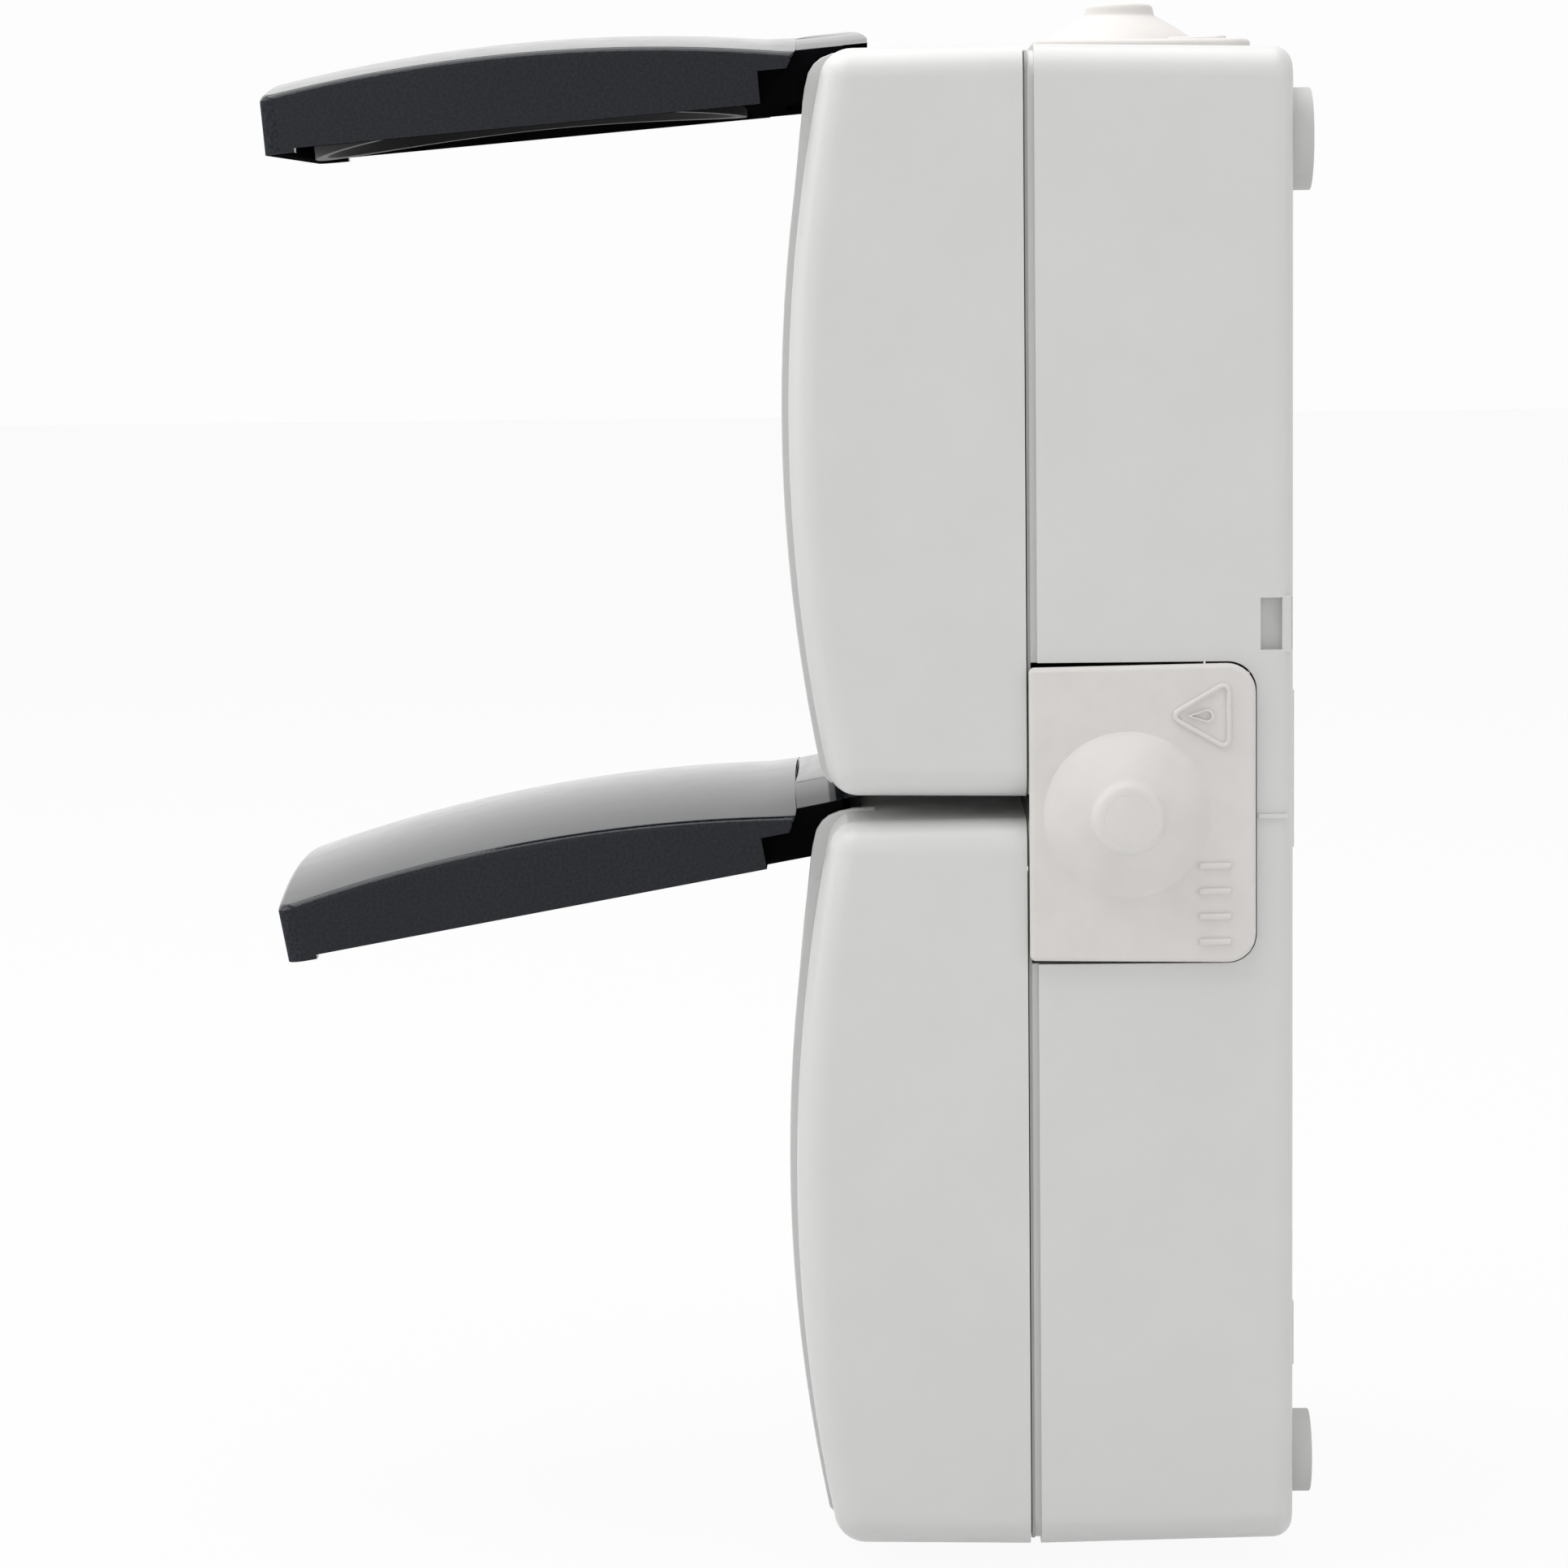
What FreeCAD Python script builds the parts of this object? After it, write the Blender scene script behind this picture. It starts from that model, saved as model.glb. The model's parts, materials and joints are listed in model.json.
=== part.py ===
"""Outdoor weatherproof socket: two earthed outlets one above the other in a surface housing.

Frame: X across (right side +X), front toward -Y, wall plane at Y = 0, Z up, origin at the middle
of the wall plane. Lengths in mm. Both lids are drawn open, as the product is shown.
"""
import math
import os

import FreeCAD
import Part

V = FreeCAD.Vector
AXIS_X, AXIS_Y, AXIS_Z = V(1, 0, 0), V(0, 1, 0), V(0, 0, 1)

# shared clearances and reaches
FIT = 0.05              # play round a piece that is clipped or screwed in
SCREW_PLAY = 0.25       # radial play of a screw in its clearance hole
PAST = 1.0              # cutters reach this far past a surface
BITE = 0.5              # fused pieces reach this far into each other

# plug well
WELL_R = 19.6
WELL_DROP = 1.1         # well centre below the middle of its cover
WELL_WALL = 1.8
WELL_DEPTH = 17.5
FLOOR_T = 2.0
PIN_HOLE_R = 3.0
PIN_PITCH = 19.0
GUIDE_RIB_W, GUIDE_RIB_H, GUIDE_RIB_START = 5.0, 2.0, 3.2
EARTH_SLOT_HALF_W = 3.4
EARTH_SLOT_INSET, EARTH_SLOT_H = 0.6, 2.6
EARTH_SLOT_OUT = WELL_R - EARTH_SLOT_INSET
EARTH_SLOT_IN = EARTH_SLOT_OUT - EARTH_SLOT_H

# screws: shank radius, head radius, head thickness, length
SCREW_R, SCREW_HEAD_R, SCREW_HEAD_T, SCREW_L = 1.3, 2.7, 1.8, 8.0
CENTRE_SCREW_R, CENTRE_HEAD_R, CENTRE_HEAD_T, CENTRE_SCREW_L = 1.55, 3.2, 1.5, 12.0
TERMINAL_SCREW_R, TERMINAL_HEAD_R, TERMINAL_HEAD_T, TERMINAL_SCREW_L = 1.2, 1.8, 1.2, 4.5
HEAD_CHAMFER, SLOT_W, SLOT_DEPTH = 0.3, 0.7, 0.45       # chamfer and slot depth as shares of the head

# inserts, widths and heights
SLEEVE_R, SLEEVE_BORE_R, SLEEVE_L, SLEEVE_END_T = 3.2, 2.45, 14.0, 2.0
SLEEVE_SET_BACK = 0.4
SLEEVE_SLIT_W, SLEEVE_SLIT_END = 0.6, 8.0
TERMINAL_START, TERMINAL_H, TERMINAL_D = 1.0, 8.0, 7.0
TERMINAL_TAP_PLAY, TERMINAL_FLOOR, TERMINAL_CLEAR = 0.04, 1.0, 0.2
TERMINAL_SCREW_X = SLEEVE_R + TERMINAL_HEAD_R + TERMINAL_CLEAR
TERMINAL_END = TERMINAL_SCREW_X + TERMINAL_HEAD_R       # outer end of the terminal, from the contact's axis
STRAP_HALF_W, STRAP_T, STRAP_PLAY, STRAP_IN_SLOT = 3.0, 0.8, 0.2, 1.5
STRAP_REACH = EARTH_SLOT_IN + STRAP_IN_SLOT
CLIP_H, CLIP_BEND, CLIP_NOSE = 8.5, 1.4, 1.1            # clip height, bend behind the tip, inward nose
CLIP_SWAY, CLIP_FLARE = 0.2, 0.6
INSERT_SIDE, INSERT_END, INSERT_CORNER_R = 3.5, 0.5, 4.0        # insert reaches this far past what it holds
INSERT_HALF_W = PIN_PITCH / 2 + TERMINAL_END + INSERT_SIDE
INSERT_HALF_H = STRAP_REACH + INSERT_END
NECK_SIDE_STEP, NECK_END_STEP, NECK_CORNER_R = 3.7, 3.1, 3.0
NECK_HALF_W, NECK_HALF_H = INSERT_HALF_W - NECK_SIDE_STEP, INSERT_HALF_H - NECK_END_STEP
POCKET_PAST = 5.0       # terminal pockets run out through the side of the neck
POST_R, POST_HOLE_SPARE, POST_GAP = 3.3, 1.0, 1.9
POST_HOLE_R = SCREW_R + FIT
POST_X = INSERT_HALF_W + POST_GAP + POST_R
WEB_T, WEB_DROP = 1.2, 3.0
FRAME_T = 1.2
FRAME_PLAY = 0.2        # frame opening round the insert's neck
FRAME_EAR, FRAME_EAR_HALF_H = 3.4, 8.0                  # the ears reach this far past their screws
FRAME_RAIL, FRAME_CORNER_R = 1.5, 3.0
FRAME_HALF_W, FRAME_HALF_H = POST_X + FRAME_EAR, NECK_HALF_H + FRAME_PLAY + FRAME_RAIL

# inserts, depths in front of the base back face
BACK_WALL = 2.2
WIRE_SPACE, NECK_L, INSERT_HEAD_T = 5.8, 11.2, 8.1
INSERT_GAP = 0.2        # between a well floor and the insert behind it
INSERT_BACK = BACK_WALL + WIRE_SPACE
INSERT_STEP = INSERT_BACK + NECK_L
INSERT_FRONT = INSERT_STEP + INSERT_HEAD_T

# sealing ring and lid, lengths measured from the hinge axis and heights from the rim plane
GASKET_INSET, GASKET_T, GASKET_GAP = 0.4, 1.2, 0.15
GASKET_R_IN = WELL_R + GASKET_INSET
GASKET_R_OUT = GASKET_R_IN + GASKET_T
GASKET_SEAT_PLAY, GASKET_SEAT_T, GASKET_SEAT_FROM = 0.25, 1.2, 2.8
GASKET_NEAR_GAP, GASKET_TIP_GAP, GASKET_SIDE_GAP = 0.2, 0.7, 1.2
LID_WALL = 1.6
LID_NEAR = 5.1
LID_HALF_W = GASKET_R_OUT + GASKET_SIDE_GAP + LID_WALL
LID_TIP = LID_NEAR + 2 * LID_WALL + GASKET_NEAR_GAP + 2 * GASKET_R_OUT + GASKET_TIP_GAP
LID_H_NEAR, LID_H_TIP = 4.9, 4.8         # skirt height at the side face
LID_TOP_R = 150.0       # the outer face bulges both ways
LID_EDGE_R = 0.8
LID_CORNER_R, LID_INNER_R = 2.4, 1.0
LID_ROOF = 1.7
LID_BLANK_H = 12.0      # block height before the outer ball trims it
ROOF_UNDER = 3.0        # the roof runs past the skirt toward the hinge, this high
ROOF_END = ((2.4, 3.0), (1.4, 4.6))     # its sloping end
TIP_FOOT = 0.4
TIP_FOOT_L = 3.0
TONGUE_TOP_STEP, TONGUE_ROOT_STEP, TONGUE_ROOT_UNDER = 0.8, 1.2, 0.4
HUMP = ((2.6, 5.75), (1.2, 5.8), (-0.1, 6.05), (-1.7, 6.3), (-3.4, 6.2), (-4.6, 5.75),
        (-5.3, 5.0), (-5.3, 4.6), (-3.0, 4.6))          # rounded back end of the tongue
HUMP_CROWN_R, HUMP_TOP = 120.0, 6.3     # the tongue is bowed across too
NECK = ((2.4, -0.6), (LID_NEAR, -0.1))                  # underside of the tongue
OPEN_UPPER, OPEN_LOWER = 85.3, 79.7     # degrees from shut

# covers, heights and depths
PANEL_RISE = 0.75       # raised front panel
COVER_FRONT = INSERT_FRONT + INSERT_GAP + FLOOR_T + WELL_DEPTH - PANEL_RISE     # middle of the front
HINGE_Z = GASKET_R_OUT - WELL_DROP + GASKET_NEAR_GAP + LID_WALL + LID_NEAR      # above the cover's middle
HINGE_SET_BACK, HINGE_TO_TOP = 2.95, 7.5
HINGE_Y = COVER_FRONT - HINGE_SET_BACK
RIM_GAP = 0.05
RIM_PLANE = HINGE_SET_BACK + RIM_GAP    # rim plane in front of the hinge axis when shut
COVER_H = 2 * (HINGE_Z + HINGE_TO_TOP)
COVER_GAP = 2.0         # between the two covers
PANEL_IN_LID, PANEL_END_MARGIN = 0.4, 2.9   # the shut lid's skirt goes round the panel
PANEL_CORNER_R = 13.0
PANEL_EDGE_R = 0.5
BARREL_R = 160.0        # the front bulges as a barrel lying across
COVER_WALL = 2.2
COVER_TAPER = 0.3       # top and bottom wall lean in this much over the cover depth
COVER_EDGE_R = 3.0
COVER_CAVITY_R = 1.5
COVER_RIB_ZS, COVER_RIB_T, COVER_RIB_H = (-12.0, 9.0), 1.2, 4.6

# rear base
RIM_INSET = 0.6         # depth of the seam groove
RIM_RISE = 0.6          # rim height in front of the side walls
RIM_WALL = 1.4
BASE_WALL = RIM_INSET + RIM_WALL
FRAME_CLEAR = 2.4       # between an insert's frame and the side wall
WIDTH = 2 * (FRAME_HALF_W + FRAME_CLEAR + BASE_WALL)    # across the side walls
GANG_PITCH = COVER_H + COVER_GAP
HEIGHT = GANG_PITCH + COVER_H
HALF_W, HALF_H = WIDTH / 2, HEIGHT / 2
FOOT_PROUD = 2.0        # wall discs stand this far behind the base
CORNER_R = COVER_EDGE_R         # rounding between side walls and top or bottom wall
BASE_TAPER = 0.5        # top and bottom wall lean in this much over the base depth
BACK_EDGE_R = 1.8
CAVITY_CORNER_R = 1.2
SEAL_T = 0.4
SEAL_CORNER_R, SEAL_INNER_R = 1.6, 0.6
DIVIDER_SET_BACK, DIVIDER_T = 0.2, 1.7
DIVIDER_IN = COVER_GAP / 2 + DIVIDER_SET_BACK           # the two middle walls, distances from mid height
DIVIDER_OUT = DIVIDER_IN + DIVIDER_T
DIVIDER_FLOOR = 1.2     # web between the middle walls, behind the front edge
WIRE_WAY_HALF_W, WIRE_WAY_TOP = 7.0, 13.0

# cable entry tiles
TILE_HALF_W = 13.95
TILE_L = 20.9
TILE_PROUD = 1.0
TILE_T = TILE_PROUD + BASE_WALL + FIT
TILE_CORNER_R = 2.7
TILE_FLANGE_T = 1.5
TILE_FLANGE_LIP = 1.3
TILE_FLANGE_FRONT, TILE_FLANGE_REAR = 0.8, 0.3  # flange stops short of the front and rear edges
TILE_ROOM = 0.4         # room behind the flange
TILE_NOTCH_L = 0.3      # the inner part of the front edge stops short, under the cover seal
TILE_SEAL_NIP = 0.1
TILE_LEDGE = TILE_PROUD + RIM_INSET - TILE_SEAL_NIP     # thickness left above that notch
TILE_REAR = 3.5         # rear edge of a side tile in front of the base back face
TILE_OVER = 0.8         # side tiles reach this far past the front edge of the side walls
TOP_TILE_BACK = 0.5     # the top tile stops this far behind that edge
SIDE_TILE_Z = -0.4
SIDE_TILE_FRONT = TILE_REAR + TILE_L
BASE_DEPTH = SIDE_TILE_FRONT - TILE_OVER        # back face to front edge of the side walls
TOP_TILE_FRONT = BASE_DEPTH - TOP_TILE_BACK
DOME_OFFSET = 9.0       # dome centre behind the front edge of the tile
DOME_R, DOME_BALL_R, DOME_TOP = 7.5, 12.5, 3.1         # soft dome cut from a ball
BOSS_R, BOSS_TOP_R, BOSS_H = 3.5, 3.15, 3.95
BOSS_DISH_R, BOSS_DISH_D = 2.4, 0.4
DOME_SKIN = 1.6
HOLLOW_R, HOLLOW_TOP_R = 5.7, 2.15
MARK_X, MARK_BACK, MARK_PROUD = 8.95, 6.85, 0.25        # triangle centre beside and behind the dome
MARK_ROOT = 0.2
TRIANGLE_SIDE, TRIANGLE_BAND, DROP_R, DROP_BACK = 6.3, 0.7, 0.75, 0.35
BAR_START, BAR_L, BAR_W, BAR_PITCH, BAR_COUNT = -5.6, 2.8, 0.8, 1.9, 4

# hinge
PIN_R = 1.0
PIN_HOLD = 1.6          # length of pin held in each recess wall
PIN_HOLE_PLAY = 0.03
KNUCKLE_R = 2.6
KNUCKLE_PLAY = 0.06     # running clearance round the pin
KNUCKLE_BACK_GAP, KNUCKLE_FLOOR_GAP = 0.8, 0.4
RECESS_SIDE = 12.2      # recess to the cover's side face
RECESS_HALF_W = HALF_W - RECESS_SIDE
RECESS_WALL = 1.8
RECESS_BACK = HINGE_Y - KNUCKLE_R - KNUCKLE_BACK_GAP    # back wall of the hinge recess
RECESS_FLOOR = HINGE_Z - KNUCKLE_R - KNUCKLE_FLOOR_GAP
RECESS_LAND = 0.4       # recess walls stop short of the top wall's outer face
TONGUE_GAP = 0.5
TONGUE_HALF_W = RECESS_HALF_W - TONGUE_GAP
TONGUE_BACK_HALF = KNUCKLE_R - 0.1      # half height of the tongue behind the axis
TONGUE_WINDOW_HALF_W, TONGUE_WINDOW_Z, TONGUE_WINDOW_ROOF = 8.0, (-3.0, 3.4), 0.2
PIN_HALF_L = RECESS_HALF_W + PIN_HOLD

# side wall details near the back
NOTCH_Z, NOTCH_HALF_W, NOTCH_L, NOTCH_D = 17.0, 2.4, 3.1, 1.3
NOTCH_BAR_FROM, NOTCH_BAR_TO, NOTCH_BAR_IN = 0.3, 1.1, 0.2
RIB_Z, RIB_W, RIB_FROM, RIB_TO, RIB_PROUD = -0.75, 0.4, 0.6, 3.3, 0.25
PAD_SIDE, PAD_W, PAD_RISE = 2.8, 6.2, 0.2
PAD_SPANS = ((-4.0, 10.6), (-53.0, -47.0))

# wall discs and their holes
DISC_SIDE, DISC_TOP, DISC_BOTTOM = 7.0, 8.8, 7.7        # disc centres inside the side, top and bottom
DISC_X = HALF_W - DISC_SIDE
DISC_UPPER_Z, DISC_LOWER_Z = HALF_H - DISC_TOP, DISC_BOTTOM - HALF_H
DISC_UPPER_R, DISC_LOWER_R = 4.7, 3.9
DISC_NECK_R, DISC_HOLE_R, DISC_FLANGE_T, DISC_FLANGE_IN = 3.0, 2.2, 1.0, 0.6


def depth(d):
    """Y of a plane d in front of the base back face."""
    return -FOOT_PROUD - d


BACK_Y = depth(0.0)
CAVITY_BACK_Y = BACK_Y - BACK_WALL
BASE_FRONT_Y = depth(BASE_DEPTH)
RIM_FRONT_Y = depth(BASE_DEPTH + RIM_RISE)
COVER_REAR_Y = depth(BASE_DEPTH + RIM_RISE + SEAL_T)
PANEL_Y = depth(COVER_FRONT + PANEL_RISE)
FLOOR_Y = PANEL_Y + WELL_DEPTH
PIN_Y = depth(HINGE_Y)


def box(x0, x1, y0, y1, z0, z1):
    """Block between two corners, given in any order."""
    (x0, x1), (y0, y1), (z0, z1) = sorted((x0, x1)), sorted((y0, y1)), sorted((z0, z1))
    return Part.makeBox(x1 - x0, y1 - y0, z1 - z0, V(x0, y0, z0))


def rod(radius, start, end):
    """Round bar from one point to another."""
    run = end - start
    return Part.makeCylinder(radius, run.Length, start, run)


def rod_y(radius, x, z, y0, y1):
    """Round bar along Y."""
    return rod(radius, V(x, y0, z), V(x, y1, z))


def cone(r0, r1, start, end):
    """Tapered round bar."""
    run = end - start
    return Part.makeCone(r0, r1, run.Length, start, run)


def barrel_about(y, z, radius):
    """Long barrel lying across, about the axis at (y, z)."""
    return rod(radius, V(-WIDTH, y, z), V(WIDTH, y, z))


def front_barrel(d, radius=BARREL_R):
    """Barrel lying across whose front stands d in front of the base back face."""
    return barrel_about(depth(d) + radius, 0.0, radius)


def rounded_outline(half_w, z0, z1, radius, y):
    """Closed rectangle with round corners in the plane at y."""
    corners = []
    k = radius * (1 - math.sqrt(0.5))
    for sx, z, sz in ((1, z0, -1), (1, z1, 1), (-1, z1, 1), (-1, z0, -1)):
        a = V(sx * half_w, y, z - sz * radius)
        b = V(sx * (half_w - radius), y, z)
        mid = V(sx * (half_w - k), y, z - sz * k)
        corners.append((a, mid, b) if sx * sz > 0 else (b, mid, a))
    edges = []
    for i, (a, mid, b) in enumerate(corners):
        edges.append(Part.Arc(a, mid, b).toShape())
        edges.append(Part.LineSegment(b, corners[(i + 1) % 4][0]).toShape())
    return Part.Wire(Part.__sortEdges__(edges))


def rounded_block(half_w, z0, z1, radius, y0, y1):
    """Straight block with round corners, from y0 to y1."""
    return Part.Face(rounded_outline(half_w, z0, z1, radius, y0)).extrude(V(0, y1 - y0, 0))


def leaning_block(y0, y1, half_h, lean):
    """Full-width block whose top and bottom walls lean in by lean at y1."""
    return profile_x([(y0, -half_h), (y0, half_h), (y1, half_h - lean), (y1, lean - half_h)], HALF_W)


def edges_in_plane(shape, axis, value):
    """Edges whose ends all lie at value on the named axis."""
    return [e for e in shape.Edges
            if len(e.Vertexes) == 2 and all(abs(getattr(v.Point, axis) - value) < 1e-6 for v in e.Vertexes)]


def edges_along(edges, axis):
    """Those of the edges that run along the named axis."""
    return [e for e in edges if abs(getattr(e.Vertexes[0].Point - e.Vertexes[1].Point, axis)) > 1e-3]


def profile_x(points, half_w):
    """Polygon of (y, z) points drawn out to half_w on each side."""
    corners = [V(-half_w, y, z) for y, z in points]
    return Part.Face(Part.makePolygon(corners + corners[:1])).extrude(V(2 * half_w, 0, 0))


def mirrored_x(shape):
    """Copy on the other side of the middle plane."""
    return shape.mirror(V(0, 0, 0), AXIS_X)


def moved(shape, z):
    """Copy lifted by z."""
    out = shape.copy()
    out.translate(V(0, 0, z))
    return out


# rear base

def base_shell():
    """Back and side walls with the stepped rim at the front."""
    outer = leaning_block(BASE_FRONT_Y, BACK_Y, HALF_H, BASE_TAPER)
    outer = outer.makeFillet(CORNER_R, edges_along(outer.Edges, "y"))
    outer = outer.makeFillet(BACK_EDGE_R, edges_in_plane(outer, "y", BACK_Y))
    rim = rounded_block(HALF_W - RIM_INSET, RIM_INSET - HALF_H, HALF_H - RIM_INSET, CORNER_R - RIM_INSET,
                        RIM_FRONT_Y, BASE_FRONT_Y + PAST)
    cavity = rounded_block(HALF_W - BASE_WALL, BASE_WALL - HALF_H, HALF_H - BASE_WALL, CAVITY_CORNER_R,
                           RIM_FRONT_Y - PAST, CAVITY_BACK_Y)
    return outer.fuse(rim).cut(cavity)


def flange_clear():
    """Distance from the middle plane to the inner face of a side tile's flange room."""
    return HALF_W - BASE_WALL - TILE_FLANGE_T - TILE_ROOM


def divider():
    """The two middle walls, with a way through for the wires."""
    side = HALF_W - BASE_WALL + BITE
    walls = box(-side, side, RIM_FRONT_Y, CAVITY_BACK_Y + BITE, -DIVIDER_OUT, DIVIDER_OUT)
    hollow = box(-flange_clear(), flange_clear(), BASE_FRONT_Y + DIVIDER_FLOOR, CAVITY_BACK_Y,
                 -DIVIDER_IN, DIVIDER_IN)
    groove = box(-HALF_W, HALF_W, RIM_FRONT_Y - PAST, BASE_FRONT_Y, -DIVIDER_IN, DIVIDER_IN)
    wire_way = box(-WIRE_WAY_HALF_W, WIRE_WAY_HALF_W, depth(WIRE_WAY_TOP), CAVITY_BACK_Y,
                   -DIVIDER_OUT - PAST, DIVIDER_OUT + PAST)
    return walls.cut(hollow).cut(groove).cut(wire_way)


def screw_post(x, z):
    """Post for a frame screw, tied to the side wall by a web; returns the post and its bore."""
    top = depth(INSERT_STEP - FRAME_T)
    post = rod_y(POST_R, x, z, CAVITY_BACK_Y + BITE, top)
    web = box(x, math.copysign(HALF_W - BASE_WALL + BITE, x), top + WEB_DROP, CAVITY_BACK_Y + BITE,
              z - WEB_T / 2, z + WEB_T / 2)
    bore = rod_y(POST_HOLE_R, x, z, top + SCREW_L + POST_HOLE_SPARE, top - PAST)
    return post.fuse(web), bore


def tile_slots():
    """Cutters for the three entry tiles, with room for the inner flange of the side ones."""
    half = TILE_HALF_W + FIT
    back = depth(SIDE_TILE_FRONT - TILE_L - FIT)
    z0, z1 = SIDE_TILE_Z - half, SIDE_TILE_Z + half
    lip = TILE_FLANGE_LIP + FIT
    cutters = []
    for side in (1, -1):
        slot = box(side * (HALF_W - 2 * BASE_WALL), side * (HALF_W + PAST), RIM_FRONT_Y - PAST, back, z0, z1)
        slot = slot.makeFillet(TILE_CORNER_R, edges_along(edges_in_plane(slot, "y", back), "x"))
        room = box(side * flange_clear(), side * (HALF_W - BASE_WALL), RIM_FRONT_Y - PAST, back + lip,
                   z0 - lip, z1 + lip)
        cutters += [slot, room]
    back = depth(TOP_TILE_FRONT - TILE_L - FIT)
    slot = box(-half, half, depth(TOP_TILE_FRONT + FIT), back, HALF_H - 2 * BASE_WALL, HALF_H + PAST)
    cutters.append(slot.makeFillet(TILE_CORNER_R, edges_along(edges_in_plane(slot, "y", back), "z")))
    return cutters


def side_details(side):
    """Break-out notch cutter, and the bar, moulding rib and low pads on one side."""
    notch = box(side * (HALF_W - NOTCH_D), side * (HALF_W + PAST), depth(NOTCH_L), BACK_Y + PAST,
                NOTCH_Z - NOTCH_HALF_W, NOTCH_Z + NOTCH_HALF_W)
    bar = box(side * (HALF_W - NOTCH_D - BITE), side * (HALF_W - NOTCH_BAR_IN),
              depth(NOTCH_BAR_TO), depth(NOTCH_BAR_FROM),
              NOTCH_Z - NOTCH_HALF_W - NOTCH_BAR_IN, NOTCH_Z + NOTCH_HALF_W + NOTCH_BAR_IN)
    rib = box(side * (HALF_W - BASE_WALL + BITE), side * (HALF_W + RIB_PROUD),
              depth(RIB_TO), depth(RIB_FROM), RIB_Z - RIB_W / 2, RIB_Z + RIB_W / 2)
    pad_x0, pad_x1 = side * (HALF_W - PAD_SIDE - PAD_W), side * (HALF_W - PAD_SIDE)
    pads = [box(pad_x0, pad_x1, BACK_Y - BITE, BACK_Y + PAD_RISE, z0, z1) for z0, z1 in PAD_SPANS]
    return notch, [bar, rib] + pads


def base_box():
    """Rear housing with back wall, rim, divider, posts and the entry slots."""
    body = base_shell().fuse(divider())
    for gang in (GANG_PITCH / 2, -GANG_PITCH / 2):
        for x in (POST_X, -POST_X):
            post, bore = screw_post(x, gang - WELL_DROP)
            body = body.fuse(post).cut(bore)
    for cutter in tile_slots():
        body = body.cut(cutter)
    for z in (DISC_UPPER_Z, DISC_LOWER_Z):
        for x in (DISC_X, -DISC_X):
            body = body.cut(rod_y(DISC_NECK_R + FIT, x, z, PAST, CAVITY_BACK_Y - PAST))
    for side in (1, -1):
        notch, added = side_details(side)
        body = body.cut(notch)
        for piece in added:
            body = body.fuse(piece)
    return body.removeSplitter()


# entry tiles

def tile_plate():
    """Plate and inner flange, lying flat: outer face up at Z = 0, front edge at Y = 0."""
    plate = box(-TILE_HALF_W, TILE_HALF_W, 0.0, TILE_L, -TILE_T, 0.0)
    plate = plate.makeFillet(TILE_CORNER_R, edges_along(edges_in_plane(plate, "y", TILE_L), "z"))
    reach = TILE_HALF_W + TILE_FLANGE_LIP
    flange = box(-reach, reach, TILE_FLANGE_FRONT, TILE_L - TILE_FLANGE_REAR, -TILE_T - TILE_FLANGE_T, -TILE_T)
    notch = box(-reach, reach, -PAST, TILE_NOTCH_L, -TILE_T - PAST, -TILE_LEDGE)
    return plate.cut(notch).fuse(flange)


def tile_dome():
    """Soft dome with its dished boss, and the cutter that hollows it from inside."""
    centre = V(0, DOME_OFFSET, 0)
    ball = Part.makeSphere(DOME_BALL_R, centre + AXIS_Z * (DOME_TOP - DOME_BALL_R))
    dome = ball.common(rod(DOME_R, centre - AXIS_Z * MARK_ROOT, centre + AXIS_Z * BOSS_H))
    boss = cone(BOSS_R, BOSS_TOP_R, centre + AXIS_Z, centre + AXIS_Z * BOSS_H)
    dish = rod(BOSS_DISH_R, centre + AXIS_Z * (BOSS_H - BOSS_DISH_D), centre + AXIS_Z * (BOSS_H + PAST))
    hollow = cone(HOLLOW_R, HOLLOW_TOP_R, centre - AXIS_Z * (TILE_T + TILE_FLANGE_T + PAST),
                  centre + AXIS_Z * (BOSS_H - DOME_SKIN))
    return dome.fuse(boss).cut(dish), hollow


def triangle(x, y, shrink):
    """Prism of the raised triangle pointing to the front edge, drawn in by shrink on each side."""
    r = TRIANGLE_SIDE / math.sqrt(3) - 2 * shrink
    corners = [V(x + r * math.sin(a), y - r * math.cos(a), -MARK_ROOT)
               for a in (0, 2 * math.pi / 3, 4 * math.pi / 3)]
    return Part.Face(Part.makePolygon(corners + corners[:1])).extrude(V(0, 0, MARK_ROOT + MARK_PROUD))


def tile_marks():
    """Raised triangle outline with a drop, and a row of plain bars, behind the dome."""
    y = DOME_OFFSET + MARK_BACK
    marks = [triangle(MARK_X, y, 0.0).cut(triangle(MARK_X, y, TRIANGLE_BAND)),
             rod(DROP_R, V(MARK_X, y + DROP_BACK, -MARK_ROOT), V(MARK_X, y + DROP_BACK, MARK_PROUD))]
    for i in range(BAR_COUNT):
        x = BAR_START - i * BAR_PITCH
        marks.append(box(x - BAR_W / 2, x + BAR_W / 2, y, y + BAR_L, -MARK_ROOT, MARK_PROUD))
    return marks


def entry_tiles():
    """The three tiles in place: right side, left side and top."""
    dome, hollow = tile_dome()
    flat = tile_plate().fuse(dome).cut(hollow)
    for mark in tile_marks():
        flat = flat.fuse(mark)
    flat = flat.removeSplitter()
    top = flat.copy()
    top.translate(V(0, depth(TOP_TILE_FRONT), HALF_H + TILE_PROUD))
    right = flat.copy()
    right.rotate(V(0, 0, 0), AXIS_Y, 90)
    right = right.mirror(V(0, 0, 0), AXIS_Z)
    right.translate(V(HALF_W + TILE_PROUD, depth(SIDE_TILE_FRONT), SIDE_TILE_Z))
    return right, mirrored_x(right), top


# covers, drawn with the middle of the cover at Z = 0

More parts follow.
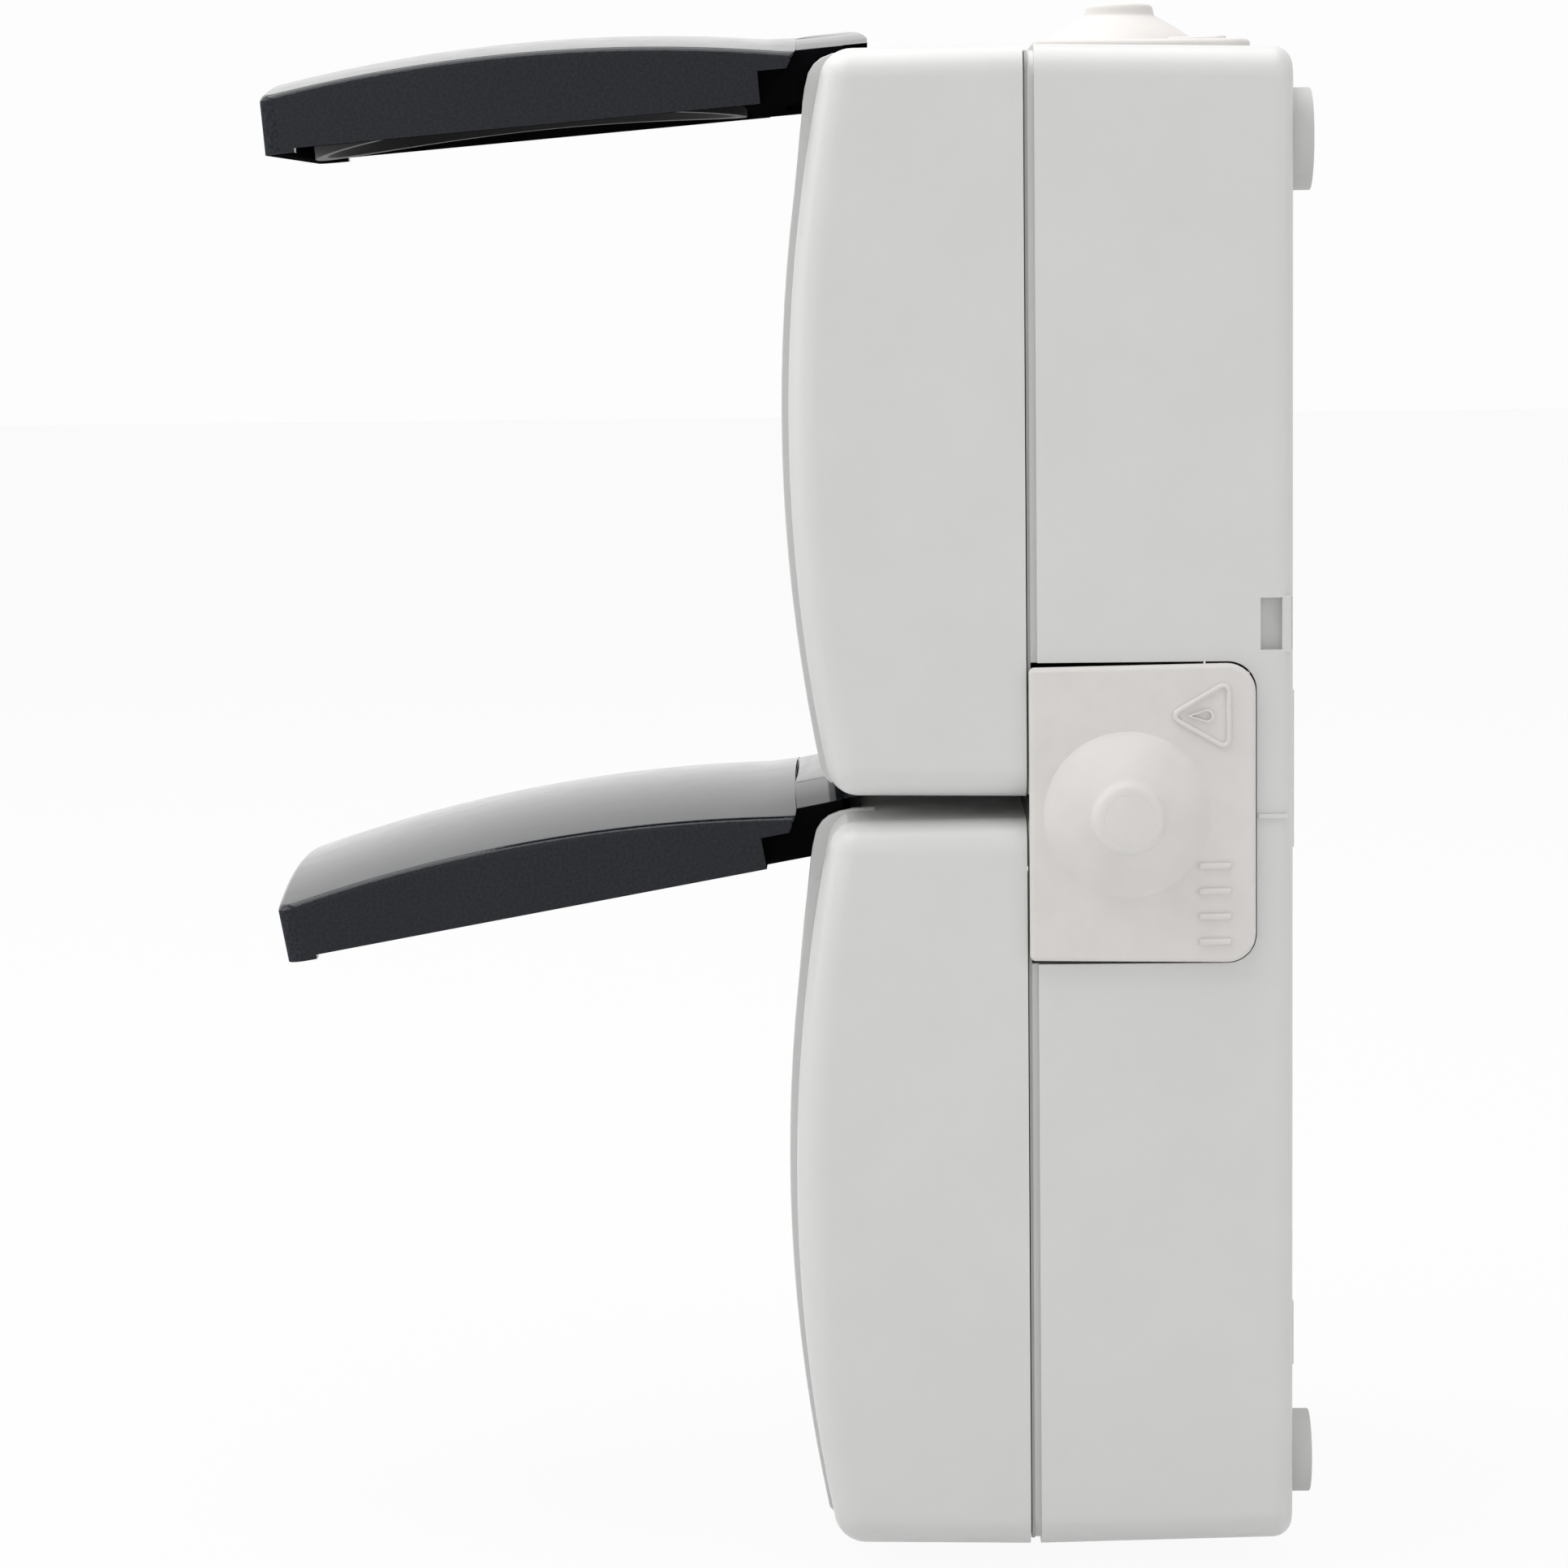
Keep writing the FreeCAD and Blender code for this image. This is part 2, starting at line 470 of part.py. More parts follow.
def cover_shell():
    """Barrel-fronted shell with the raised panel."""
    half_h = COVER_H / 2
    blank_y = PANEL_Y - PAST
    middle_y = (COVER_REAR_Y + PANEL_Y) / 2
    shell = leaning_block(COVER_REAR_Y, blank_y, half_h, COVER_TAPER).common(front_barrel(COVER_FRONT))
    rounded = [e for e in shell.Edges if e.BoundBox.YMin < COVER_REAR_Y - PAST]
    shell = shell.makeFillet(COVER_EDGE_R, rounded)
    panel_h = half_h - PANEL_END_MARGIN
    panel_half_w = LID_HALF_W - LID_WALL - PANEL_IN_LID
    panel = rounded_block(panel_half_w, -panel_h, panel_h, PANEL_CORNER_R, blank_y, COVER_REAR_Y)
    panel = panel.common(front_barrel(COVER_FRONT + PANEL_RISE))
    panel = panel.makeFillet(PANEL_EDGE_R, [e for e in panel.Edges if e.BoundBox.YMax < middle_y])
    inner_h = half_h - COVER_WALL
    cavity = rounded_block(HALF_W - COVER_WALL, -inner_h, inner_h, COVER_CAVITY_R,
                           COVER_REAR_Y + PAST, blank_y)
    return shell.fuse(panel).cut(cavity.common(front_barrel(COVER_FRONT - COVER_WALL)))


def plug_well(body):
    """Body with the round well, its floor, guide ribs and contact holes."""
    z = -WELL_DROP
    floor_back = FLOOR_Y + FLOOR_T
    tube = rod_y(WELL_R + WELL_WALL, 0, z, floor_back, PANEL_Y - PAST)
    body = body.fuse(tube.common(front_barrel(COVER_FRONT + PANEL_RISE)))
    body = body.cut(rod_y(WELL_R, 0, z, FLOOR_Y, PANEL_Y - PAST))
    for side in (1, -1):
        body = body.fuse(box(side * (WELL_R - GUIDE_RIB_H), side * (WELL_R + BITE), PANEL_Y + GUIDE_RIB_START,
                             FLOOR_Y, z - GUIDE_RIB_W / 2, z + GUIDE_RIB_W / 2))
        body = body.cut(rod_y(PIN_HOLE_R, side * PIN_PITCH / 2, z, floor_back + PAST, FLOOR_Y - PAST))
        body = body.cut(box(-EARTH_SLOT_HALF_W, EARTH_SLOT_HALF_W, FLOOR_Y - PAST, floor_back + PAST,
                            z + side * EARTH_SLOT_IN, z + side * EARTH_SLOT_OUT))
    return body.cut(rod_y(CENTRE_SCREW_R + SCREW_PLAY, 0, z, FLOOR_Y - PAST, floor_back + PAST))


def hinge_recess(body):
    """Body with the hinge recess, open to the front and to the top, and the pin's seats."""
    half_h = COVER_H / 2
    blank_y = PANEL_Y - PAST
    outer = RECESS_HALF_W + RECESS_WALL
    walls = box(-outer, outer, blank_y, depth(RECESS_BACK) + RECESS_WALL, RECESS_FLOOR - RECESS_WALL,
                half_h - RECESS_LAND)
    walls = walls.common(front_barrel(COVER_FRONT - COVER_WALL / 2))
    recess = box(-RECESS_HALF_W, RECESS_HALF_W, blank_y, depth(RECESS_BACK), RECESS_FLOOR, half_h + PAST)
    seat_l = PIN_HALF_L + FIT
    seat = rod(PIN_R + PIN_HOLE_PLAY, V(-seat_l, PIN_Y, HINGE_Z), V(seat_l, PIN_Y, HINGE_Z))
    return body.fuse(walls).cut(recess).cut(seat)


def cover():
    """One cover: shell, panel, plug well, floor, hinge recess and stiffening ribs."""
    body = hinge_recess(plug_well(cover_shell()))
    roof = COVER_FRONT - COVER_WALL + BITE
    well = rod_y(WELL_R + WELL_WALL / 2, 0, -WELL_DROP, COVER_REAR_Y, PANEL_Y)
    for side in (1, -1):
        for z in COVER_RIB_ZS:
            rib = box(side * (WELL_R + WELL_WALL - BITE), side * (HALF_W - COVER_WALL + BITE),
                      depth(roof), depth(roof - COVER_RIB_H - BITE), z - COVER_RIB_T / 2, z + COVER_RIB_T / 2)
            body = body.fuse(rib.cut(well).common(front_barrel(COVER_FRONT - COVER_WALL / 2)))
    return body.removeSplitter()


def cover_seal(sign):
    """Flat frame between the base rim and a cover."""
    half_w, low, high = HALF_W - RIM_INSET, DIVIDER_IN, HALF_H - RIM_INSET
    frame = rounded_block(half_w, low, high, SEAL_CORNER_R, COVER_REAR_Y, RIM_FRONT_Y)
    inner = rounded_block(half_w - RIM_WALL, low + RIM_WALL, high - RIM_WALL, SEAL_INNER_R,
                          COVER_REAR_Y - PAST, RIM_FRONT_Y + PAST)
    frame = frame.cut(inner)
    return frame if sign > 0 else frame.mirror(V(0, 0, 0), AXIS_Z)


# lids, drawn shut over a cover whose middle is at Z = 0

def lid_point(u, v):
    """(y, z) of a point u from the hinge axis toward the tip and v above the rim plane."""
    return depth(HINGE_Y + RIM_PLANE + v), HINGE_Z - u


def lid_ball(drop):
    """Ball of the lid's outer face, drawn in by drop."""
    side_r = math.sqrt(LID_TOP_R ** 2 - LID_HALF_W ** 2)
    chord = math.hypot(LID_TIP - LID_NEAR, LID_H_TIP - LID_H_NEAR)
    back = math.sqrt(side_r ** 2 - (chord / 2) ** 2)
    lean = math.atan2(LID_H_TIP - LID_H_NEAR, LID_TIP - LID_NEAR)
    y, z = lid_point((LID_NEAR + LID_TIP) / 2 + back * math.sin(lean),
                     (LID_H_NEAR + LID_H_TIP) / 2 - back * math.cos(lean))
    return Part.makeSphere(LID_TOP_R - drop, V(0, y, z))


def lid_block(inset, v0, v1, tip_r, near=LID_NEAR):
    """Block of the lid's plan drawn in by inset, from v0 to v1, with round tip corners."""
    y1, tip = lid_point(LID_TIP - inset, v0)
    y0, root = lid_point(near + inset, v1)
    block = box(inset - LID_HALF_W, LID_HALF_W - inset, y0, y1, tip, root)
    return block.makeFillet(tip_r, edges_along(edges_in_plane(block, "z", tip), "y"))


def lid_tongue():
    """Tongue with the knuckle, and the cutters for its window and pin bore."""
    root = LID_NEAR + LID_WALL
    points = [(root, LID_H_NEAR - TONGUE_ROOT_STEP), (LID_NEAR, LID_H_NEAR - TONGUE_TOP_STEP), *HUMP,
              (-TONGUE_BACK_HALF, -RIM_PLANE), (TONGUE_BACK_HALF, -RIM_PLANE), *NECK, (root, TONGUE_ROOT_UNDER)]
    tongue = profile_x([lid_point(u, v) for u, v in points], TONGUE_HALF_W)
    crown_y = lid_point(0, HUMP_TOP)[0] + HUMP_CROWN_R
    tongue = tongue.common(rod(HUMP_CROWN_R, V(0, crown_y, -HEIGHT), V(0, crown_y, HEIGHT)))
    knuckle = rod(KNUCKLE_R, V(-TONGUE_HALF_W, PIN_Y, HINGE_Z), V(TONGUE_HALF_W, PIN_Y, HINGE_Z))
    bore = rod(PIN_R + KNUCKLE_PLAY, V(-HALF_W, PIN_Y, HINGE_Z), V(HALF_W, PIN_Y, HINGE_Z))
    window = box(-TONGUE_WINDOW_HALF_W, TONGUE_WINDOW_HALF_W, lid_point(0, RIM_PLANE + TONGUE_WINDOW_ROOF)[0],
                 PIN_Y + KNUCKLE_R + PAST, HINGE_Z + TONGUE_WINDOW_Z[0], HINGE_Z + TONGUE_WINDOW_Z[1])
    return tongue.fuse(knuckle).cut(window).cut(bore)


def lid():
    """One lid: bowed cap with skirt and tip foot, tongue, and the seat of its sealing ring."""
    low_end, high_end = ROOF_END
    outer = lid_block(0.0, 0.0, LID_BLANK_H, LID_CORNER_R, near=high_end[0]).common(lid_ball(0.0))
    half_height_y, root = lid_point(high_end[0], LID_H_TIP / 2)
    rims = [e for e in outer.Edges if e.BoundBox.YMax < half_height_y and e.BoundBox.ZMin < root - PAST]
    outer = outer.makeFillet(LID_EDGE_R, rims)
    under = [(LID_NEAR, -PAST), (LID_NEAR, ROOF_UNDER), low_end, high_end, (0.0, high_end[1]), (0.0, -PAST)]
    outer = outer.cut(profile_x([lid_point(u, v) for u, v in under], HALF_W))
    hollow = lid_block(LID_WALL, -PAST, LID_BLANK_H, LID_INNER_R).common(lid_ball(LID_ROOF))
    foot = lid_block(0.0, -TIP_FOOT, LID_WALL, LID_CORNER_R, near=LID_TIP - TIP_FOOT_L)
    body = outer.fuse(foot).cut(hollow).fuse(lid_tongue())
    seat_r = GASKET_R_IN - GASKET_SEAT_PLAY
    seat = rod_y(seat_r, 0, -WELL_DROP, lid_point(0, GASKET_SEAT_FROM)[0], lid_point(0, LID_BLANK_H)[0])
    seat = seat.cut(rod_y(seat_r - GASKET_SEAT_T, 0, -WELL_DROP, BACK_Y, lid_point(0, LID_BLANK_H)[0]))
    return body.fuse(seat.common(lid_ball(LID_ROOF / 2))).removeSplitter()


def lid_gasket():
    """Sealing ring inside a lid, its edge shaped to the bulging front panel."""
    y0, y1 = lid_point(0, LID_BLANK_H)[0], COVER_REAR_Y
    ring = rod_y(GASKET_R_OUT, 0, -WELL_DROP, y0, y1).cut(rod_y(GASKET_R_IN, 0, -WELL_DROP, y0, y1))
    front = PANEL_RISE + GASKET_GAP
    return ring.common(lid_ball(LID_ROOF)).cut(front_barrel(COVER_FRONT + front, BARREL_R + front))


# fasteners and inserts, drawn with the middle of the well at Z = 0

def slotted_screw(x, z, y_seat, radius, length, head_r, head_t):
    """Pan head screw pointing toward the wall, head in front of y_seat."""
    top = y_seat - head_t
    shank = rod_y(radius, x, z, y_seat + length, y_seat - head_t / 2)
    head = rod_y(head_r, x, z, y_seat, top)
    rim = [e for e in head.Edges if abs(e.CenterOfMass.y - top) < 1e-6]
    head = head.makeChamfer(head_t * HEAD_CHAMFER, rim)
    slot = box(x - head_r, x + head_r, top - PAST, top + head_t * SLOT_DEPTH, z - SLOT_W / 2, z + SLOT_W / 2)
    return shank.fuse(head.cut(slot))


def wall_disc(x, z, radius):
    """Soft disc through the back wall with its screw hole."""
    disc = rod_y(radius, x, z, BACK_Y, 0)
    neck = rod_y(DISC_NECK_R, x, z, BACK_Y, CAVITY_BACK_Y)
    flange = rod_y(radius - DISC_FLANGE_IN, x, z, CAVITY_BACK_Y, CAVITY_BACK_Y - DISC_FLANGE_T)
    hole = rod_y(DISC_HOLE_R, x, z, PAST, CAVITY_BACK_Y - DISC_FLANGE_T - PAST)
    return disc.fuse(neck).fuse(flange).cut(hole)


def insert_body():
    """Insert block behind a well floor."""
    front, step, back = depth(INSERT_FRONT), depth(INSERT_STEP), depth(INSERT_BACK)
    body = rounded_block(INSERT_HALF_W, -INSERT_HALF_H, INSERT_HALF_H, INSERT_CORNER_R, front, step)
    body = body.fuse(rounded_block(NECK_HALF_W, -NECK_HALF_H, NECK_HALF_H, NECK_CORNER_R, step, back))
    trench = STRAP_HALF_W + STRAP_PLAY
    body = body.cut(box(-trench, trench, front - PAST, front + STRAP_T + FIT, -HALF_H, HALF_H))
    pocket_back = front + SLEEVE_L + BITE
    for side in (1, -1):
        x = side * PIN_PITCH / 2
        body = body.cut(rod_y(SLEEVE_R + FIT, x, 0, front - PAST, pocket_back))
        body = body.cut(box(x, side * (NECK_HALF_W + POCKET_PAST), front + SLEEVE_L - TERMINAL_D, pocket_back,
                            -TERMINAL_H / 2 - FIT, TERMINAL_H / 2 + FIT))
        body = body.cut(rod_y(TERMINAL_HEAD_R + SCREW_PLAY, x + side * TERMINAL_SCREW_X, 0,
                              front - PAST, front + SLEEVE_L))
    return body.cut(rod_y(CENTRE_SCREW_R + FIT, 0, 0, front - PAST, back + PAST))


def contact(side):
    """Brass sleeve with its terminal block."""
    front = depth(INSERT_FRONT)
    x, end = side * PIN_PITCH / 2, front + SLEEVE_L
    screw_x = x + side * TERMINAL_SCREW_X
    sleeve = rod_y(SLEEVE_R, x, 0, front + SLEEVE_SET_BACK, end)
    block = box(x + side * TERMINAL_START, x + side * TERMINAL_END, end - TERMINAL_D + FIT, end,
                -TERMINAL_H / 2, TERMINAL_H / 2)
    bore = rod_y(SLEEVE_BORE_R, x, 0, front - PAST, end - SLEEVE_END_T)
    slit = box(x - SLEEVE_SLIT_W / 2, x + SLEEVE_SLIT_W / 2, front - PAST, end - SLEEVE_SLIT_END,
               -SLEEVE_R - PAST, SLEEVE_R + PAST)
    tap = rod_y(TERMINAL_SCREW_R + TERMINAL_TAP_PLAY, screw_x, 0, end - TERMINAL_D - PAST, end - TERMINAL_FLOOR)
    return sleeve.fuse(block).cut(bore).cut(slit).cut(tap)


def terminal_screws():
    """The two clamping screws of an insert."""
    y_seat = depth(INSERT_FRONT) + SLEEVE_L - TERMINAL_D + FIT
    x = PIN_PITCH / 2 + TERMINAL_SCREW_X
    return [slotted_screw(side * x, 0, y_seat, TERMINAL_SCREW_R, TERMINAL_SCREW_L,
                          TERMINAL_HEAD_R, TERMINAL_HEAD_T) for side in (1, -1)]


def earth_strap():
    """Earthing bow across the insert with a clip at each end standing in the well."""
    y0 = depth(INSERT_FRONT)
    y1 = y0 + STRAP_T
    strap = box(-STRAP_HALF_W, STRAP_HALF_W, y0, y1, -STRAP_REACH, STRAP_REACH)
    tip = y0 - FLOOR_T - CLIP_H
    outer, inner = STRAP_REACH, STRAP_REACH - STRAP_T
    bend = tip + CLIP_BEND
    root = bend + STRAP_T + CLIP_SWAY
    section = [(y1, outer), (y1, inner), (root, inner - CLIP_SWAY), (bend, inner - CLIP_NOSE),
               (tip, inner), (tip, outer + CLIP_FLARE), (bend, outer - CLIP_SWAY), (root, outer)]
    for sign in (1, -1):
        strap = strap.fuse(profile_x([(y, sign * z) for y, z in section], STRAP_HALF_W))
    return strap.cut(rod_y(CENTRE_SCREW_R + SCREW_PLAY, 0, 0, y0 - PAST, y1 + PAST)).removeSplitter()


def support_frame():
    """Steel frame that carries an insert on the base posts."""
    y0, y1 = depth(INSERT_STEP), depth(INSERT_STEP - FRAME_T)
    plate = rounded_block(FRAME_HALF_W, -FRAME_HALF_H, FRAME_HALF_H, FRAME_CORNER_R, y0, y1)
    hole_w, hole_h = NECK_HALF_W + FRAME_PLAY, NECK_HALF_H + FRAME_PLAY
    plate = plate.cut(rounded_block(hole_w, -hole_h, hole_h, NECK_CORNER_R, y0 - PAST, y1 + PAST))
    for x in (POST_X, -POST_X):
        plate = plate.cut(rod_y(SCREW_R + SCREW_PLAY, x, 0, y0 - PAST, y1 + PAST))
        for sign in (1, -1):
            plate = plate.cut(box(x - math.copysign(FRAME_EAR, x), math.copysign(FRAME_HALF_W + PAST, x),
                                  y0 - PAST, y1 + PAST, sign * FRAME_EAR_HALF_H, sign * (FRAME_HALF_H + PAST)))
    return plate


# assembly

def save(name, *solids):
    """Write one node."""
    shape = solids[0] if len(solids) == 1 else Part.makeCompound(list(solids))
    shape.exportStep(os.path.join("parts", name + ".step"))


def save_base():
    """Write the base, its tiles and its wall discs."""
    save("base_box", base_box())
    for tag, tile in zip(("right", "left", "top"), entry_tiles()):
        save("entry_tile_" + tag, tile)
    for tag, z, radius in (("upper", DISC_UPPER_Z, DISC_UPPER_R), ("lower", DISC_LOWER_Z, DISC_LOWER_R)):
        save("wall_discs_" + tag, *[wall_disc(x, z, radius) for x in (DISC_X, -DISC_X)])


def save_gangs():
    """Write what the upper and the lower outlet are made of."""
    one_cover, shut_lid, shut_gasket = cover(), lid(), lid_gasket()
    pin = rod(PIN_R, V(-PIN_HALF_L, PIN_Y, HINGE_Z), V(PIN_HALF_L, PIN_Y, HINGE_Z))
    block, strap, frame = insert_body(), earth_strap(), support_frame()
    for tag, sign, opened in (("upper", 1, OPEN_UPPER), ("lower", -1, OPEN_LOWER)):
        middle = sign * GANG_PITCH / 2
        well = middle - WELL_DROP
        save("cover_" + tag, moved(one_cover, middle))
        save("cover_seal_" + tag, cover_seal(sign))
        save("hinge_pin_" + tag, moved(pin, middle))
        save("cover_screw_" + tag, slotted_screw(0, well, FLOOR_Y, CENTRE_SCREW_R, CENTRE_SCREW_L,
                                                 CENTRE_HEAD_R, CENTRE_HEAD_T))
        for name, shut in (("lid_", shut_lid), ("lid_gasket_", shut_gasket)):
            shape = moved(shut, middle)
            shape.rotate(V(0, PIN_Y, HINGE_Z + middle), AXIS_X, -opened)
            save(name + tag, shape)
        save("insert_body_" + tag, moved(block, well))
        save("earth_strap_" + tag, moved(strap, well))
        save("support_frame_" + tag, moved(frame, well))
        save("frame_screws_" + tag, *[slotted_screw(x, well, depth(INSERT_STEP), SCREW_R, SCREW_L,
                                                    SCREW_HEAD_R, SCREW_HEAD_T) for x in (POST_X, -POST_X)])
        save("contact_live_" + tag, moved(contact(1), well))
        save("contact_neutral_" + tag, moved(contact(-1), well))
        save("terminal_screws_" + tag, *[moved(s, well) for s in terminal_screws()])


def main():
    """Build every node and write it."""
    os.makedirs("parts", exist_ok=True)
    save_base()
    save_gangs()


main()
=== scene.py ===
"""Looks of an outdoor weatherproof socket outlet: two gangs, both hinged lids open.

Sizes are in millimetres and turns in degrees unless a note says otherwise. The wall stands behind
the object, at the larger y, and z points up.
"""

from __future__ import annotations

import json
import logging
import math
from collections.abc import Callable
from dataclasses import dataclass
from enum import Enum

import bmesh
import bpy
from mathutils import Matrix, Vector

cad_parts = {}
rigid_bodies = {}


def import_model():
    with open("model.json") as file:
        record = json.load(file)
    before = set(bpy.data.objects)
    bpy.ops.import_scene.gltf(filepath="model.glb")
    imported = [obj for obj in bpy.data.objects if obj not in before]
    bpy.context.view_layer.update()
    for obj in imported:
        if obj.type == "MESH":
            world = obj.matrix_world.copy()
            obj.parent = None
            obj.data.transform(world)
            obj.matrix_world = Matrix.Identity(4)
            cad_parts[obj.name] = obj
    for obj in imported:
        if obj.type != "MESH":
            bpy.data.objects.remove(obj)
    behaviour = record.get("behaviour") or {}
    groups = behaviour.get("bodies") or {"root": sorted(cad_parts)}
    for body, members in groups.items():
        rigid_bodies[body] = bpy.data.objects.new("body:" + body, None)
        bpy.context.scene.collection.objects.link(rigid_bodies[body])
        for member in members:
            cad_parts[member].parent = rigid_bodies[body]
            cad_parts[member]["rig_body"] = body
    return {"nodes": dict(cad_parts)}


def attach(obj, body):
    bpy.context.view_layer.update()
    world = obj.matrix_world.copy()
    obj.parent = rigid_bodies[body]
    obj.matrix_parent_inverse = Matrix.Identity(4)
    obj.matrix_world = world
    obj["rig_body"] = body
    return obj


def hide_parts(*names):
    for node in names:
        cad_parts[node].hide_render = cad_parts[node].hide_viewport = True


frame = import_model()

log = logging.getLogger("socket")

# One millimetre in the scene's metres.
MM = 0.001
# Corners of a built shape that are nearer than this are one corner.
WELD_MM = 0.0005
# Nearly all of a noise lies between these two values.
NOISE_LOW = 0.3
NOISE_HIGH = 0.7
NOISE_ROUGHNESS = 0.55
# The axes of the upper and the lower lid.
HINGE_Y = -45.3
HINGE_Z = (62.5, -8.5)


class Slot(str, Enum):
    """The record's material slots."""

    HOUSING = "housing"
    LID = "lid"
    TILE = "entry_tile"
    SEAL = "seal"
    DISC = "wall_disc"
    INSERT = "insert"
    BRASS = "brass"
    STEEL = "zinc_steel"
    PIN = "hinge_pin"


class Gang(str, Enum):
    """The two sockets of the outlet."""

    UPPER = "upper"
    LOWER = "lower"


class LidFace(Enum):
    """The finishes of a lid by their place in its list of materials."""

    OUTSIDE = 0
    # the inside, the tongue and the knuckle, in a darker copy of the lid plastic that paints the shade there
    INSIDE = 1
    TIP = 2


class Graph:
    """A node tree with short ways to add and join nodes."""

    def __init__(self, tree: bpy.types.NodeTree) -> None:
        """Takes over a tree and empties it.

        Args:
            tree: the node tree to fill.
        """
        self.tree = tree
        tree.nodes.clear()

    def add(self, kind: str, inputs: dict | None = None, **settings: object) -> bpy.types.Node:
        """Adds a node.

        Args:
            kind: the node's type name.
            inputs: socket names or numbers with their values or source sockets.
            settings: attributes of the node.

        Returns:
            The new node.
        """
        node = self.tree.nodes.new(kind)
        for name, value in settings.items():
            setattr(node, name, value)
        for key, value in (inputs or {}).items():
            if isinstance(value, bpy.types.NodeSocket):
                self.tree.links.new(value, node.inputs[key])
            else:
                node.inputs[key].default_value = value
        return node

    def noise(self, coords: bpy.types.NodeSocket, size_mm: float, detail: float) -> bpy.types.NodeSocket:
        """Adds a noise whose grains have a real size.

        Args:
            coords: the coordinates, in metres.
            size_mm: width of one grain.
            detail: number of finer layers.

        Returns:
            The noise's factor.
        """
        settings = {"Vector": coords, "Scale": 1.0 / (size_mm * MM), "Detail": detail,
                    "Roughness": NOISE_ROUGHNESS}
        return self.add("ShaderNodeTexNoise", settings).outputs[0]

    def maths(self, operation: str, a: object, b: object) -> bpy.types.NodeSocket:
        """Adds one sum.

        Args:
            operation: the Math node's operation.
            a: first value or socket.
            b: second value or socket.

        Returns:
            The result.
        """
        return self.add("ShaderNodeMath", {0: a, 1: b}, operation=operation).outputs[0]

    def spread(self, factor: bpy.types.NodeSocket, low: float, high: float) -> bpy.types.NodeSocket:
        """Maps a noise onto a range of values.

        Args:
            factor: the noise's factor.
            low: value at its low end.
            high: value at its high end.

        Returns:
            The value.
        """
        span = {0: factor, 1: NOISE_LOW, 2: NOISE_HIGH, 3: low, 4: high}
        return self.add("ShaderNodeMapRange", span).outputs[0]

    def ramp(self, factor: bpy.types.NodeSocket, low: tuple, high: tuple,
             start: float = NOISE_LOW, end: float = NOISE_HIGH) -> bpy.types.NodeSocket:
        """Adds a two-colour ramp.

        Args:
            factor: what drives it.
            low: colour at the start.
            high: colour at the end.
            start: factor at which the change starts.
            end: factor at which it ends.

        Returns:
            The colour.
        """
        node = self.add("ShaderNodeValToRGB", {0: factor})
        node.color_ramp.elements[0].position = start
        node.color_ramp.elements[1].position = end
        node.color_ramp.elements[0].color = (*low, 1.0)
        node.color_ramp.elements[1].color = (*high, 1.0)
        return node.outputs[0]


def begun(name: str) -> tuple[bpy.types.Material, Graph, bpy.types.NodeSocket]:
    """Starts a material.

    Args:
        name: the material's name.

    Returns:
        The material, its graph and its Object coordinates.
    """
    material = bpy.data.materials.new(name)
    material.use_nodes = True
    graph = Graph(material.node_tree)
    return material, graph, graph.add("ShaderNodeTexCoord").outputs["Object"]


def linear(red: float, green: float, blue: float) -> tuple[float, float, float]:
    """Turns a screen colour into scene values by the usual sRGB curve.

    Args:
        red: 0 to 255.
        green: 0 to 255.
        blue: 0 to 255.

    Returns:
        The three linear values.
    """
    parts = [c / 255 for c in (red, green, blue)]
    return tuple(c / 12.92 if c <= 0.04045 else ((c + 0.055) / 1.055) ** 2.4 for c in parts)


def scaled(colour: tuple, factor: float) -> tuple[float, float, float]:
    """Makes a colour lighter or darker by a factor."""
    return tuple(min(1.0, c * factor) for c in colour)


@dataclass(frozen=True)
class MouldedPlastic:
    """Injection-moulded plastic with a spark-eroded grain and slight clouding."""

    name: str
    colour: tuple[float, float, float]
    roughness: float = 0.42
    smoother: float = 0.03
    rougher: float = 0.04
    specular: float = 0.5
    ior: float = 1.5
    grain_mm: float = 0.25
    grain_depth: float = 0.12
    grain_height_mm: float = 0.02
    cloud_mm: float = 9.0
    clouding: float = 0.012
    patch_mm: float = 2.6
    speckle: float = 0.0
    speckle_span: tuple[float, float] = (0.35, 0.68)
    coat: float = 0.0
    coat_ior: float = 1.25
    coat_roughness: float = 0.1

    def build(self) -> bpy.types.Material:
        """Builds the material.

        Returns:
            The finished material.
        """
        material, graph, coords = begun(self.name)
        cloud = graph.noise(coords, self.cloud_mm, 3.0)
        fine = graph.noise(coords, self.grain_mm, 1.0)
        low, high = scaled(self.colour, 1 - self.clouding), scaled(self.colour, 1 + self.clouding)
        colour = graph.ramp(cloud, low, high)
        if self.speckle:
            dots = graph.ramp(fine, (1 - self.speckle,) * 3, (1 + self.speckle,) * 3, *self.speckle_span)
            mix = graph.add("ShaderNodeMix", {0: 1.0, 6: colour, 7: dots},
                            data_type="RGBA", blend_type="MULTIPLY")
            colour = mix.outputs[2]
        patches = graph.noise(coords, self.patch_mm, 2.0)
        rough = graph.spread(patches, self.roughness - self.smoother, self.roughness + self.rougher)
        relief = {"Strength": self.grain_depth, "Distance": self.grain_height_mm * MM, "Height": fine}
        bump = graph.add("ShaderNodeBump", relief)
        shader = graph.add("ShaderNodeBsdfPrincipled", {
            "Base Color": colour, "Roughness": rough, "Normal": bump.outputs[0],
            "Specular IOR Level": self.specular, "IOR": self.ior})
        if self.coat:
            shader.inputs["Coat Weight"].default_value = self.coat
            shader.inputs["Coat IOR"].default_value = self.coat_ior
            shader.inputs["Coat Roughness"].default_value = self.coat_roughness
        graph.add("ShaderNodeOutputMaterial", {0: shader.outputs[0]})
        return material


